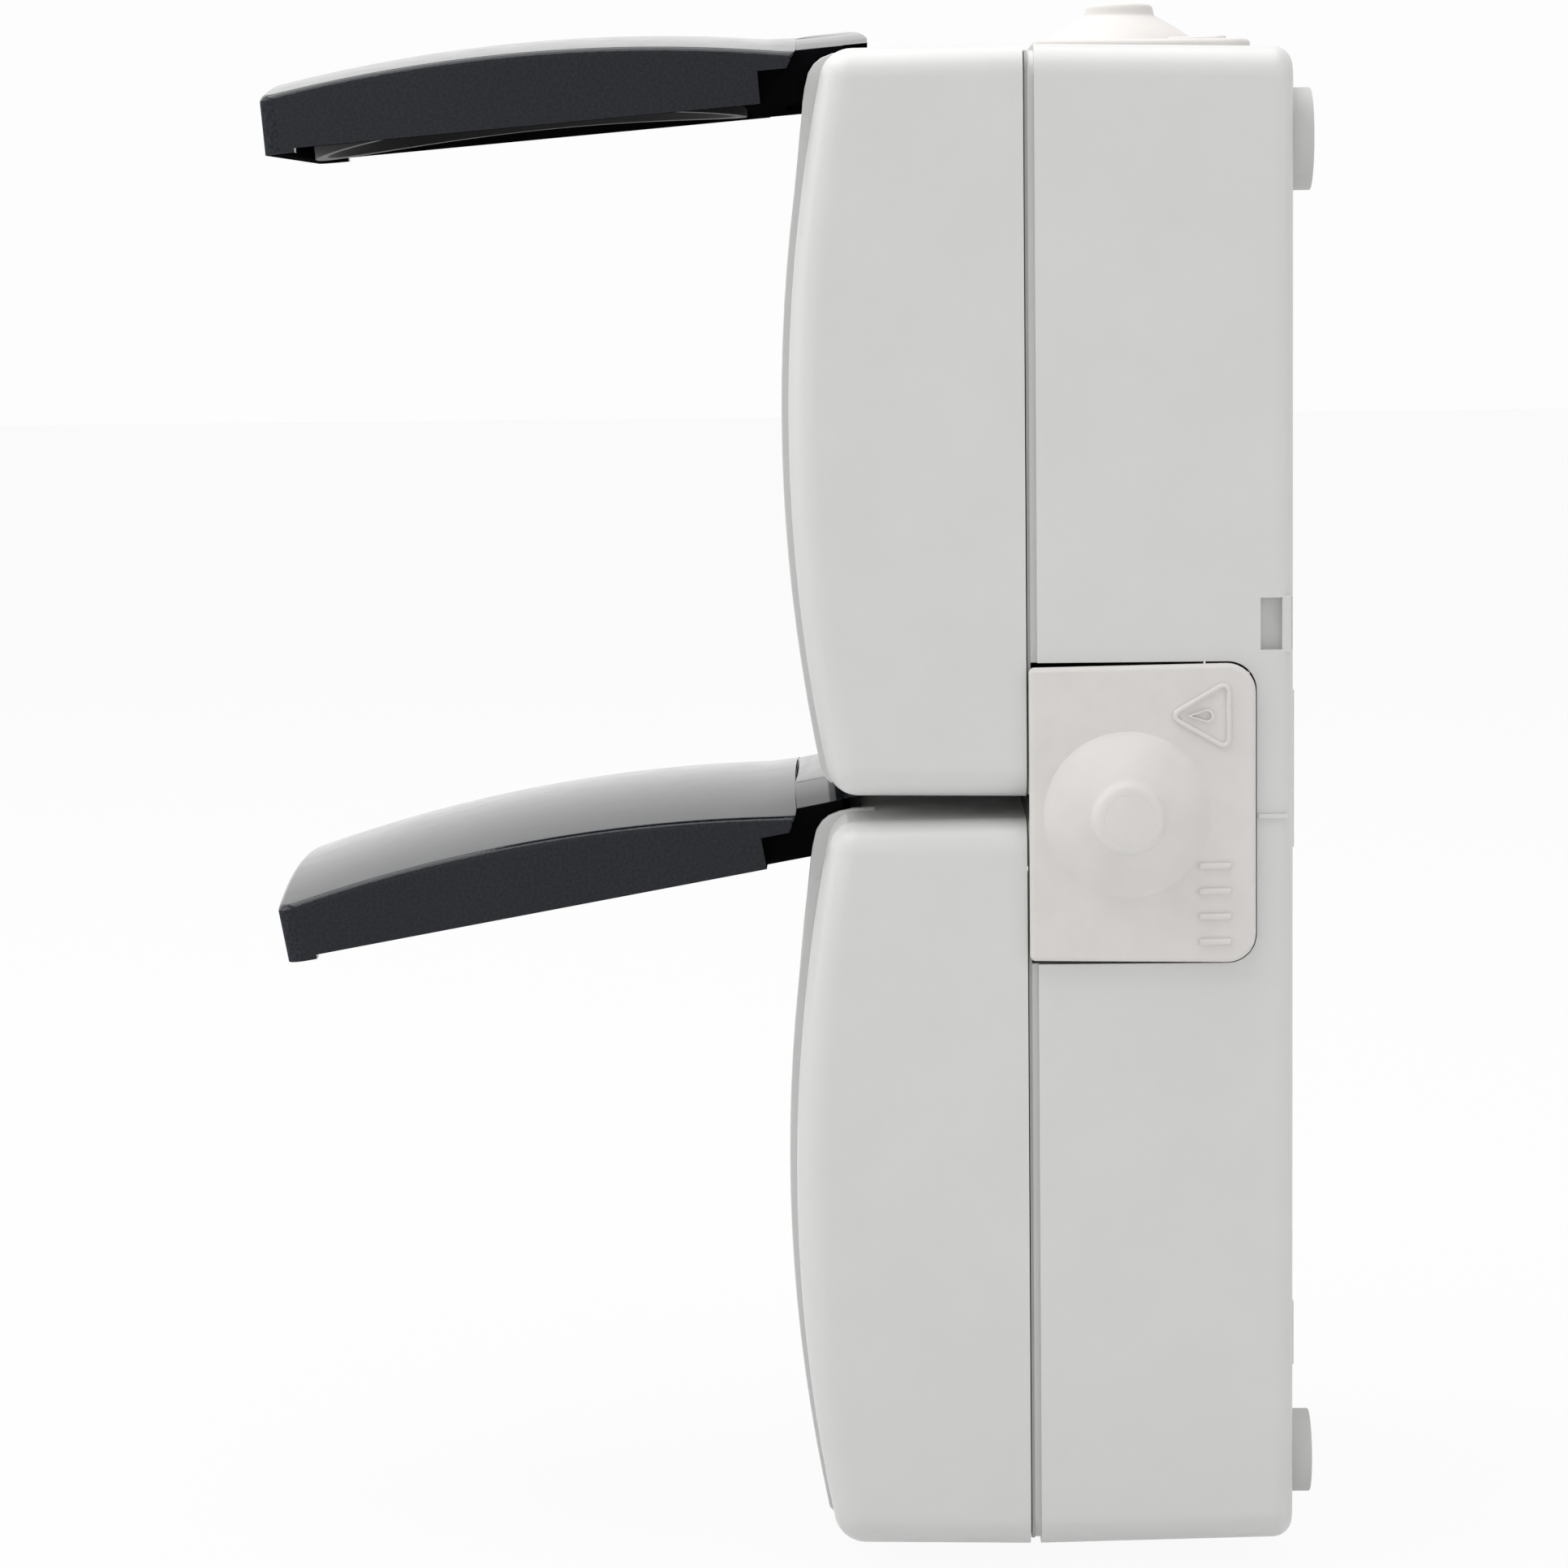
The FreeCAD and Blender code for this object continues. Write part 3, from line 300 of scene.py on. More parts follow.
@dataclass(frozen=True)
class SoftRubber:
    """Matte elastomer: dusty, with a faint sheen and fine pores."""

    name: str
    colour: tuple[float, float, float]
    roughness: float = 0.62
    patchiness: float = 0.05
    specular: float = 0.35
    sheen: float = 0.15
    sheen_roughness: float = 0.5
    dust_mm: float = 4.0
    dust_dark: float = 0.97
    dust_light: float = 1.03
    pore_mm: float = 0.18
    pore_depth: float = 0.1
    pore_height_mm: float = 0.015

    def build(self) -> bpy.types.Material:
        """Builds the material.

        Returns:
            The finished material.
        """
        material, graph, coords = begun(self.name)
        dust = graph.noise(coords, self.dust_mm, 4.0)
        pores = graph.noise(coords, self.pore_mm, 1.0)
        low, high = scaled(self.colour, self.dust_dark), scaled(self.colour, self.dust_light)
        colour = graph.ramp(dust, low, high)
        rough = graph.spread(dust, self.roughness - self.patchiness, self.roughness + self.patchiness)
        relief = {"Strength": self.pore_depth, "Distance": self.pore_height_mm * MM, "Height": pores}
        bump = graph.add("ShaderNodeBump", relief)
        shader = graph.add("ShaderNodeBsdfPrincipled", {
            "Base Color": colour, "Roughness": rough, "Normal": bump.outputs[0],
            "Specular IOR Level": self.specular, "Sheen Weight": self.sheen,
            "Sheen Roughness": self.sheen_roughness})
        graph.add("ShaderNodeOutputMaterial", {0: shader.outputs[0]})
        return material


@dataclass(frozen=True)
class BareMetal:
    """Stamped or turned metal with fine drawing lines and faint stains."""

    name: str
    colour: tuple[float, float, float]
    roughness: float = 0.32
    smoother: float = 0.08
    rougher: float = 0.1
    line_mm: float = 0.12
    line_stretch: tuple[float, float, float] = (1.0, 1.0, 0.06)
    line_depth: float = 0.15
    line_height_mm: float = 0.01
    stain_mm: float = 3.0
    stain_dark: float = 0.9
    stain_light: float = 1.05

    def build(self) -> bpy.types.Material:
        """Builds the material.

        Returns:
            The finished material.
        """
        material, graph, coords = begun(self.name)
        stretched = graph.add("ShaderNodeMapping", {"Vector": coords, "Scale": self.line_stretch})
        lines = graph.noise(stretched.outputs[0], self.line_mm, 2.0)
        stains = graph.noise(coords, self.stain_mm, 3.0)
        low, high = scaled(self.colour, self.stain_dark), scaled(self.colour, self.stain_light)
        colour = graph.ramp(stains, low, high)
        rough = graph.spread(lines, self.roughness - self.smoother, self.roughness + self.rougher)
        relief = {"Strength": self.line_depth, "Distance": self.line_height_mm * MM, "Height": lines}
        bump = graph.add("ShaderNodeBump", relief)
        shader = graph.add("ShaderNodeBsdfPrincipled", {
            "Base Color": colour, "Metallic": 1.0, "Roughness": rough, "Normal": bump.outputs[0]})
        graph.add("ShaderNodeOutputMaterial", {0: shader.outputs[0]})
        return material


FINISHES = {
    Slot.HOUSING: MouldedPlastic("light_grey_housing", linear(206, 206, 205), roughness=0.36, specular=0.4),
    Slot.LID: MouldedPlastic("anthracite_lid", linear(21, 24, 30), roughness=0.13, specular=0.5, ior=1.28,
                             grain_mm=0.3, grain_depth=0.12, clouding=0.06, speckle=0.4, coat=0.5),
    Slot.TILE: SoftRubber("soft_grey_tile", linear(211, 208, 205)),
    Slot.SEAL: SoftRubber("soft_seal", linear(168, 168, 166), roughness=0.55),
    Slot.DISC: SoftRubber("wall_disc_rubber", linear(190, 190, 188), roughness=0.55),
    Slot.INSERT: MouldedPlastic("insert_plastic", linear(196, 197, 196), roughness=0.45),
    Slot.BRASS: BareMetal("drawn_brass", linear(214, 184, 116), roughness=0.3),
    Slot.STEEL: BareMetal("zinc_plated_steel", linear(196, 199, 202), roughness=0.34),
    Slot.PIN: BareMetal("hinge_pin_steel", linear(150, 152, 156), roughness=0.3),
}
# Painted shade: a darker, non-reflecting copy of the lid plastic for the lid's inside, tongue and knuckle,
# which lie in shade.
SHADED_LID_INSIDE = MouldedPlastic("painted_shade_lid_inside", linear(13, 13, 15), roughness=0.6, specular=0.0,
                            grain_mm=0.4, grain_depth=0.05, clouding=0.1)
LID_RING = SoftRubber("dark_ring_rubber", linear(34, 34, 36))
LID_TIP = MouldedPlastic("matt_lid_tip", linear(44, 46, 51), roughness=0.6, specular=0.02,
                         grain_mm=0.3, grain_depth=0.12, clouding=0.06, speckle=0.3)


def solid(bm: bmesh.types.BMesh, name: str) -> bpy.types.Mesh:
    """Closes a bmesh up as a mesh with its faces pointing outwards.

    Args:
        bm: the bmesh, which is freed.
        name: the mesh's name.

    Returns:
        The mesh.
    """
    bmesh.ops.remove_doubles(bm, verts=bm.verts, dist=WELD_MM * MM)
    bmesh.ops.recalc_face_normals(bm, faces=bm.faces)
    mesh = bpy.data.meshes.new(name)
    bm.to_mesh(mesh)
    bm.free()
    return mesh


def prism(bm: bmesh.types.BMesh, outline: list[tuple], run: tuple) -> None:
    """Adds a closed prism.

    Args:
        bm: where to add it.
        outline: corners of one end.
        run: the way to the other end.
    """
    near = [bm.verts.new(Vector(p) * MM) for p in outline]
    far = [bm.verts.new((Vector(p) + Vector(run)) * MM) for p in outline]
    bm.faces.new(near)
    bm.faces.new(far[::-1])
    count = len(outline)
    for i in range(count):
        j = (i + 1) % count
        bm.faces.new((near[j], near[i], far[i], far[j]))


def belt(bm: bmesh.types.BMesh, low: list[bmesh.types.BMVert], high: list[bmesh.types.BMVert]) -> None:
    """Joins two rings of as many corners by a belt of faces.

    Args:
        bm: where to add it.
        low: the one ring.
        high: the other ring.
    """
    for i in range(len(low)):
        j = (i + 1) % len(low)
        bm.faces.new((low[i], low[j], high[j], high[i]))


def spun(bm: bmesh.types.BMesh, profile: list[tuple[float, float]], centre: tuple[float, float],
         steps: int) -> None:
    """Adds a closed solid turned about an upright axis.

    Args:
        bm: where to add it.
        profile: radius and height pairs from the lowest to the highest; the ends are capped.
        centre: x and y of the axis.
        steps: facets round it.
    """
    rings = []
    for radius, height in profile:
        ring = []
        for i in range(steps):
            a = 2 * math.pi * i / steps
            place = (centre[0] + radius * math.cos(a), centre[1] + radius * math.sin(a), height)
            ring.append(bm.verts.new(Vector(place) * MM))
        rings.append(ring)
    for low, high in zip(rings, rings[1:]):
        belt(bm, low, high)
    bm.faces.new(rings[0][::-1])
    bm.faces.new(rings[-1])


def rounded(x0: float, x1: float, y0: float, y1: float, radii: tuple[float, ...],
            steps: int = 8) -> list[tuple[float, float]]:
    """Gives the corners of a rectangle with rounded corners.

    Args:
        x0: left side.
        x1: right side.
        y0: lower side.
        y1: upper side.
        radii: corner radii, from the lower left one anticlockwise.
        steps: facets in each corner.

    Returns:
        The outline, anticlockwise.
    """
    points = []
    corners = ((x0, y0, 1, 1, 180), (x1, y0, -1, 1, 270), (x1, y1, -1, -1, 0), (x0, y1, 1, -1, 90))
    for (x, y, sx, sy, start), radius in zip(corners, radii):
        for i in range(steps + 1):
            a = math.radians(start + 90 * i / steps)
            points.append((x + sx * radius + radius * math.cos(a), y + sy * radius + radius * math.sin(a)))
    return points


class Trees:
    """Geometry Nodes trees for lines that follow a path and marks that repeat."""

    section_steps: int = 12
    corner_steps: int = 6

    def start(self, name: str, sizes: dict[str, float]) -> tuple[Graph, bpy.types.Node, bpy.types.Node]:
        """Opens a tree with its inputs.

        Args:
            name: the tree's name.
            sizes: its inputs' names and defaults: lengths in metres, and whole numbers for counts.

        Returns:
            The graph, its input node and its output node.
        """
        tree = bpy.data.node_groups.new(name, "GeometryNodeTree")
        tree.interface.new_socket("Geometry", in_out="OUTPUT", socket_type="NodeSocketGeometry")
        for label, value in sizes.items():
            kind = "NodeSocketInt" if isinstance(value, int) else "NodeSocketFloat"
            tree.interface.new_socket(label, in_out="INPUT", socket_type=kind).default_value = value
        tree.interface.new_socket("Finish", in_out="INPUT", socket_type="NodeSocketMaterial")
        graph = Graph(tree)
        return graph, graph.add("NodeGroupInput"), graph.add("NodeGroupOutput")

    def close(self, graph: Graph, given: bpy.types.Node, end: bpy.types.Node,
              shape: bpy.types.NodeSocket) -> bpy.types.NodeTree:
        """Ends a tree in Realize Instances and Set Material.

        Args:
            graph: the tree's graph.
            given: its input node.
            end: its output node.
            shape: the geometry.

        Returns:
            The finished tree.
        """
        real = graph.add("GeometryNodeRealizeInstances", {0: shape})
        dressing = {"Geometry": real.outputs[0], "Material": given.outputs["Finish"]}
        dressed = graph.add("GeometryNodeSetMaterial", dressing)
        graph.tree.links.new(dressed.outputs[0], end.inputs[0])
        return graph.tree

    def round_section(self, graph: Graph, radius: bpy.types.NodeSocket) -> bpy.types.NodeSocket:
        """Adds the section of a round line.

        Args:
            graph: the tree's graph.
            radius: the section's radius.

        Returns:
            The curve.
        """
        sizes = {"Resolution": self.section_steps, "Radius": radius}
        return graph.add("GeometryNodeCurvePrimitiveCircle", sizes).outputs[0]

    def softened(self, graph: Graph, path: bpy.types.NodeSocket,
                 radius: bpy.types.NodeSocket) -> bpy.types.NodeSocket:
        """Rounds the corners of a path.

        Args:
            graph: the tree's graph.
            path: the curve.
            radius: the corners' radius.

        Returns:
            The rounded curve.
        """
        sizes = {"Curve": path, "Count": self.corner_steps, "Radius": radius}
        return graph.add("GeometryNodeFilletCurve", sizes, mode="POLY").outputs[0]

    def corner_line(self) -> bpy.types.NodeTree:
        """Builds a half-sunk round line along a polygon with rounded corners.

        Returns:
            The tree.
        """
        sizes = {"Corners": 3, "Radius": 3.4 * MM, "Rounding": 0.6 * MM, "Line": 0.25 * MM}
        graph, given, end = self.start("corner_line", sizes)
        polygon = {"Resolution": given.outputs["Corners"], "Radius": given.outputs["Radius"]}
        path = graph.add("GeometryNodeCurvePrimitiveCircle", polygon)
        soft = self.softened(graph, path.outputs[0], given.outputs["Rounding"])
        section = self.round_section(graph, given.outputs["Line"])
        line = graph.add("GeometryNodeCurveToMesh", {0: soft, 1: section})
        return self.close(graph, given, end, line.outputs[0])

    def bar_row(self) -> bpy.types.NodeTree:
        """Builds a row of equal round bars.

        Returns:
            The tree.
        """
        sizes = {"Count": 4, "Pitch": 1.9 * MM, "Length": 2.8 * MM, "Line": 0.3 * MM}
        graph, given, end = self.start("bar_row", sizes)
        step = graph.add("ShaderNodeCombineXYZ", {0: graph.maths("MULTIPLY", given.outputs["Pitch"], -1.0)})
        spacing = {"Count": given.outputs["Count"], "Offset": step.outputs[0]}
        spots = graph.add("GeometryNodeMeshLine", spacing)
        reach = graph.add("ShaderNodeCombineXYZ", {1: given.outputs["Length"]})
        path = graph.add("GeometryNodeCurvePrimitiveLine", {1: reach.outputs[0]})
        section = self.round_section(graph, given.outputs["Line"])
        bar = graph.add("GeometryNodeCurveToMesh", {0: path.outputs[0], 1: section, "Fill Caps": True})
        placing = {"Points": spots.outputs[0], "Instance": bar.outputs[0]}
        row = graph.add("GeometryNodeInstanceOnPoints", placing)
        return self.close(graph, given, end, row.outputs[0])

    def frame_seal(self) -> bpy.types.NodeTree:
        """Builds a flat seal that follows an upright rectangle with rounded corners.

        Returns:
            The tree.
        """
        sizes = {"Width": 63.4 * MM, "Height": 66.8 * MM, "Corner": 1.2 * MM,
                 "Wide": 1.4 * MM, "Thick": 0.3 * MM}
        graph, given, end = self.start("frame_seal", sizes)
        oblong = "GeometryNodeCurvePrimitiveQuadrilateral"
        path = graph.add(oblong, {"Width": given.outputs["Width"], "Height": given.outputs["Height"]})
        soft = self.softened(graph, path.outputs[0], given.outputs["Corner"])
        section = graph.add(oblong, {"Width": given.outputs["Wide"], "Height": given.outputs["Thick"]})
        line = graph.add("GeometryNodeCurveToMesh", {0: soft, 1: section.outputs[0]})
        raised = {"Geometry": line.outputs[0], "Rotation": (math.pi / 2, 0.0, 0.0)}
        upright = graph.add("GeometryNodeTransform", raised)
        return self.close(graph, given, end, upright.outputs[0])


class Workshop:
    """Keeps the built materials and turns frame nodes into finished pieces."""

    merge_mm: float = 0.002
    flat_angle: float = 0.4
    edge_angle: float = 35.0
    smooth_angle: float = 32.0

    def __init__(self) -> None:
        """Builds each material once."""
        self.materials = {slot: finish.build() for slot, finish in FINISHES.items()}
        self.lid_inside = SHADED_LID_INSIDE.build()
        self.lid_ring = LID_RING.build()
        self.lid_tip = LID_TIP.build()

    def merged(self, node: str) -> bpy.types.Mesh:
        """Copies a node's mesh with its doubles merged and its flat faces joined.

        Args:
            node: the node's name.

        Returns:
            The new mesh.
        """
        mesh = frame["nodes"][node].data.copy()
        bm = bmesh.new()
        bm.from_mesh(mesh)
        bmesh.ops.remove_doubles(bm, verts=bm.verts, dist=self.merge_mm * MM)
        flat = math.radians(self.flat_angle)
        bmesh.ops.dissolve_limit(bm, angle_limit=flat, verts=bm.verts, edges=bm.edges)
        bm.to_mesh(mesh)
        bm.free()
        return mesh

    def refined(self, node: str, name: str, slot: Slot, edge_mm: float,
                reshape: Callable[[bpy.types.Mesh], None] | None = None,
                extra: bpy.types.Mesh | None = None) -> bpy.types.Object:
        """Makes a piece from a node, softens and shades it, and puts it in the node's place.

        Args:
            node: the node's name.
            name: the piece's name.
            slot: its material slot.
            edge_mm: rounding of its sharp edges.
            reshape: changes the merged mesh first.
            extra: a closed mesh to add to it.

        Returns:
            The finished piece.
        """
        mesh = self.merged(node)
        if reshape:
            reshape(mesh)
        piece = self.placed(name, mesh)
        self.soften(piece, edge_mm)
        if extra:
            bm = bmesh.new()
            bm.from_mesh(piece.data)
            bm.from_mesh(extra)
            bm.to_mesh(piece.data)
            bm.free()
        self.settle(piece)
        return self.finish(piece, slot, node)

    def placed(self, name: str, mesh: bpy.types.Mesh) -> bpy.types.Object:
        """Puts a mesh into the scene.

        Args:
            name: the object's name.
            mesh: its mesh.

        Returns:
            The object.
        """
        piece = bpy.data.objects.new(name, mesh)
        bpy.context.scene.collection.objects.link(piece)
        return piece

    def taken(self, piece: bpy.types.Object) -> bmesh.types.BMesh:
        """Takes a helper object out of the scene again.

        Args:
            piece: the helper.

        Returns:
            Its shape.
        """
        bm = bmesh.new()
        bm.from_mesh(piece.data)
        bpy.data.objects.remove(piece)
        return bm

    def worked_out(self, piece: bpy.types.Object) -> bpy.types.Mesh:
        """Works out a piece's modifiers and removes them.

        Args:
            piece: the object.

        Returns:
            The plain mesh that they made.
        """
        bpy.context.view_layer.update()
        graph = bpy.context.evaluated_depsgraph_get()
        mesh = bpy.data.meshes.new_from_object(piece.evaluated_get(graph))
        piece.modifiers.clear()
        return mesh

    def soften(self, piece: bpy.types.Object, edge_mm: float, segments: int = 2) -> None:
        """Rounds a piece's sharp edges.

        Args:
            piece: the object.
            edge_mm: width of the rounding.
            segments: number of facets across it.
        """
        bevel = piece.modifiers.new("edges", "BEVEL")
        bevel.width = edge_mm * MM
        bevel.segments = segments
        bevel.limit_method = "ANGLE"
        bevel.angle_limit = math.radians(self.edge_angle)
        piece.data = self.worked_out(piece)

    def cut(self, piece: bpy.types.Object, mesh: bpy.types.Mesh) -> None:
        """Cuts a closed mesh out of a piece.

        Args:
            piece: the object to cut.
            mesh: the cutter.
        """
        cutter = self.placed("cutter", mesh)
        step = piece.modifiers.new("cut", "BOOLEAN")
        step.operation = "DIFFERENCE"
        step.solver = "EXACT"
        step.object = cutter
        piece.data = self.worked_out(piece)
        bpy.data.objects.remove(cutter)

    def grown(self, tree: bpy.types.NodeTree, values: dict[str, object]) -> bpy.types.Mesh:
        """Runs a Geometry Nodes tree once and keeps its mesh.

        Args:
            tree: the tree.
            values: its inputs by name.

        Returns:
            The plain mesh.
        """
        holder = self.placed("holder", bpy.data.meshes.new("holder"))
        step = holder.modifiers.new("grow", "NODES")
        step.node_group = tree
        for item in tree.interface.items_tree:
            if item.item_type == "SOCKET" and item.in_out == "INPUT" and item.name in values:
                step[item.identifier] = values[item.name]
        mesh = self.worked_out(holder)
        bpy.data.objects.remove(holder)
        return mesh

    def settle(self, piece: bpy.types.Object) -> None:
        """Shades a piece smooth up to its sharp edges.

        Args:
            piece: the object to settle.
        """
        mesh = piece.data
        mesh.polygons.foreach_set("use_smooth", [True] * len(mesh.polygons))
        mesh.set_sharp_from_angle(angle=math.radians(self.smooth_angle))
        weigh = piece.modifiers.new("shading", "WEIGHTED_NORMAL")
        weigh.keep_sharp = True
        piece.data = self.worked_out(piece)

    def finish(self, piece: bpy.types.Object, slot: Slot, node: str) -> bpy.types.Object:
        """Dresses a piece in its slot's material and puts it on its node's body in the node's place.

        Args:
            piece: the object.
            slot: its material slot.
            node: the frame node that it stands for.

        Returns:
            The same object.
        """
        body = frame["nodes"][node]["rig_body"]
        piece.data.materials.clear()
        piece.data.materials.append(self.materials[slot])
        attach(piece, body)
        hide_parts(node)
        log.info("%s: %d faces, rides on %s", piece.name, len(piece.data.polygons), body)
        return piece

    def dress(self, node: str, slot: Slot) -> None:
        """Gives a carried-over node its material.

        Args:
            node: the node's name.
            slot: its material slot.
        """
        mesh = frame["nodes"][node].data
        mesh.materials.clear()
        mesh.materials.append(self.materials[slot])
        log.info("%s: carried over as %s", node, slot.value)


@dataclass
class Housing:
    """The wall box and the two front covers.

    Pairs in an outline are y and the height above the cover's centre.
    """

    shop: Workshop
    trees: Trees
    edge_mm: float = 0.12
    screw_edge_mm: float = 0.06
    disc_edge_mm: float = 0.1
    middles: tuple[float, float] = (35.5, -35.5)
    wells: tuple[float, float] = (34.4, -36.6)
    well_radius: float = 19.62
    well_steps: int = 160
    panel_half: float = 22.04
    panel_y: float = -49.03
    panel_depth: float = 1.4
    panel_edge_mm: float = 0.35
    barrel: float = 160.0
    band_foot: float = -33.2
    band_step: float = 3.4
    band_points: int = 17
    foot_front: tuple[float, float] = (-44.69, -34.1)
    foot_back: tuple[float, float] = (-43.9, -33.2)
    ear: tuple[tuple[float, float], ...] = (
        (-47.29, 24.2), (-47.03, 26.8), (-46.84, 28.4), (-46.74, 29.7), (-46.54, 31.0), (-46.19, 32.4),
        (-45.67, 33.2), (-45.0, 33.75), (-43.99, 34.15), (-42.65, 34.42), (-40.63, 34.52))
    ear_back: tuple[tuple[float, float], ...] = ((-40.63, 33.4), (-41.0, 32.8), (-41.0, 23.2))
    recess_half: float = 20.75
    recess_floor: float = 24.04
    recess_tall: float = 20.0
    cutter_front: float = -60.0
    well_cut: float = 30.0
    recess_cut: float = 40.0
    bore: float = 1.06
    plug_x: float = 22.15
    plug_half: float = 0.3
    plug_steps: int = 48
    seal_wide: float = 1.4
    seal_thick: float = 0.28
    seal_corner: float = 1.2
    rim_y: float = -26.2

    def arc(self, y: float) -> list[tuple[float, float]]:
        """Gives the barrel's curve from the band's foot up to its ears.

        Args:
            y: where the curve crosses the cover's centre.

        Returns:
            The curve's points.
        """
        heights = [self.band_foot + self.band_step * i for i in range(self.band_points)]
        return [(y + z * z / (2 * self.barrel), z) for z in heights]

    def band(self, middle: float) -> bpy.types.Object:
        """Makes the raised band with its ears, still without well and recess.

        Args:
            middle: height of the cover's centre.

        Returns:
            A helper object.
        """
        outline = [self.foot_front, *self.arc(self.panel_y), *self.ear]
        inner = [*self.ear_back, *self.arc(self.panel_y + self.panel_depth)[::-1], self.foot_back]
        ring = [(-self.panel_half, y, middle + z) for y, z in outline + inner]
        bm = bmesh.new()
        prism(bm, ring, (2 * self.panel_half, 0.0, 0.0))
        piece = self.shop.placed("panel", solid(bm, "panel"))
        self.shop.soften(piece, self.panel_edge_mm, segments=3)
        return piece

    def well(self, number: int) -> bpy.types.Mesh:
        """Makes the cutter of a plug well.

        Args:
            number: 0 for the upper cover, 1 for the lower one.

        Returns:
            The closed mesh.
        """
        bm = bmesh.new()
        ends = (self.cutter_front, self.cutter_front + self.well_cut)
        spun(bm, [(self.well_radius, end) for end in ends], (0.0, 0.0), self.well_steps)
        place = Matrix.Translation((0.0, 0.0, self.wells[number] * MM))
        bmesh.ops.transform(bm, matrix=place @ Matrix.Rotation(math.pi / -2, 4, "X"), verts=bm.verts)
        return solid(bm, "well")

    def recess(self, middle: float) -> bpy.types.Mesh:
        """Makes the cutter of a hinge recess.

        Args:
            middle: height of the cover's centre.

        Returns:
            The closed mesh.
        """
        bm = bmesh.new()
        side, y, floor = self.recess_half, self.cutter_front, middle + self.recess_floor
        top = floor + self.recess_tall
        outline = [(-side, y, floor), (side, y, floor), (side, y, top), (-side, y, top)]
        prism(bm, outline, (0.0, self.recess_cut, 0.0))
        return solid(bm, "recess")

    def plug(self, number: int, side: float) -> bpy.types.Mesh:
        """Makes the disc that closes one end of a pin's bore.

        Args:
            number: 0 for the upper cover, 1 for the lower one.
            side: -1 for the left end, 1 for the right one.

        Returns:
            The closed mesh.
        """
        bm = bmesh.new()
        spun(bm, [(self.bore, -self.plug_half), (self.bore, self.plug_half)], (0.0, 0.0), self.plug_steps)
        place = Matrix.Translation(Vector((side * self.plug_x, HINGE_Y, HINGE_Z[number])) * MM)
        bmesh.ops.transform(bm, matrix=place @ Matrix.Rotation(math.pi / 2, 4, "Y"), verts=bm.verts)
        return solid(bm, "plug")

    def panel(self, number: int) -> bpy.types.Mesh:
        """Makes the raised band that runs from a cover's foot up to its hinge ears.

        Args:
            number: 0 for the upper cover, 1 for the lower one.

        Returns:
            The closed mesh.
        """
        middle = self.middles[number]
        piece = self.band(middle)
        self.shop.cut(piece, self.well(number))
        self.shop.cut(piece, self.recess(middle))
        bm = self.shop.taken(piece)
        for side in (-1.0, 1.0):
            bm.from_mesh(self.plug(number, side))
        return solid(bm, "panel")

    def seal(self, node: str) -> None:
        """Sweeps the flat seal of a cover round its rim.

        Args:
            node: the seal's node.
        """
        points = [v.co / MM for v in self.shop.merged(node).vertices]
        low = [min(p[i] for p in points) for i in range(3)]
        high = [max(p[i] for p in points) for i in range(3)]
        mesh = self.shop.grown(self.trees.frame_seal(), {
            "Width": (high[0] - low[0] - self.seal_wide) * MM,
            "Height": (high[2] - low[2] - self.seal_wide) * MM,
            "Corner": self.seal_corner * MM, "Wide": self.seal_wide * MM, "Thick": self.seal_thick * MM,
            "Finish": self.shop.materials[Slot.SEAL]})
        middle = (0.0, self.rim_y - self.seal_thick / 2, (low[2] + high[2]) / 2)
        mesh.transform(Matrix.Translation(Vector(middle) * MM))
        bm = bmesh.new()
        bm.from_mesh(mesh)
        piece = self.shop.placed(node.replace("cover_seal", "rim_seal"), solid(bm, node))
        self.shop.settle(piece)
        self.shop.finish(piece, Slot.SEAL, node)

    def build(self) -> None:
        """Makes the box, the covers, their seals, screws and wall discs."""
        self.shop.refined("base_box", "wall_box", Slot.HOUSING, self.edge_mm)
        for number, gang in enumerate(Gang):
            tag = gang.value
            self.shop.refined(f"cover_{tag}", f"front_cover_{tag}", Slot.HOUSING, self.edge_mm,
                              extra=self.panel(number))
            self.shop.refined(f"cover_screw_{tag}", f"centre_screw_{tag}", Slot.STEEL, self.screw_edge_mm)
            self.seal(f"cover_seal_{tag}")
            self.shop.refined(f"wall_discs_{tag}", f"fixing_discs_{tag}", Slot.DISC, self.disc_edge_mm)


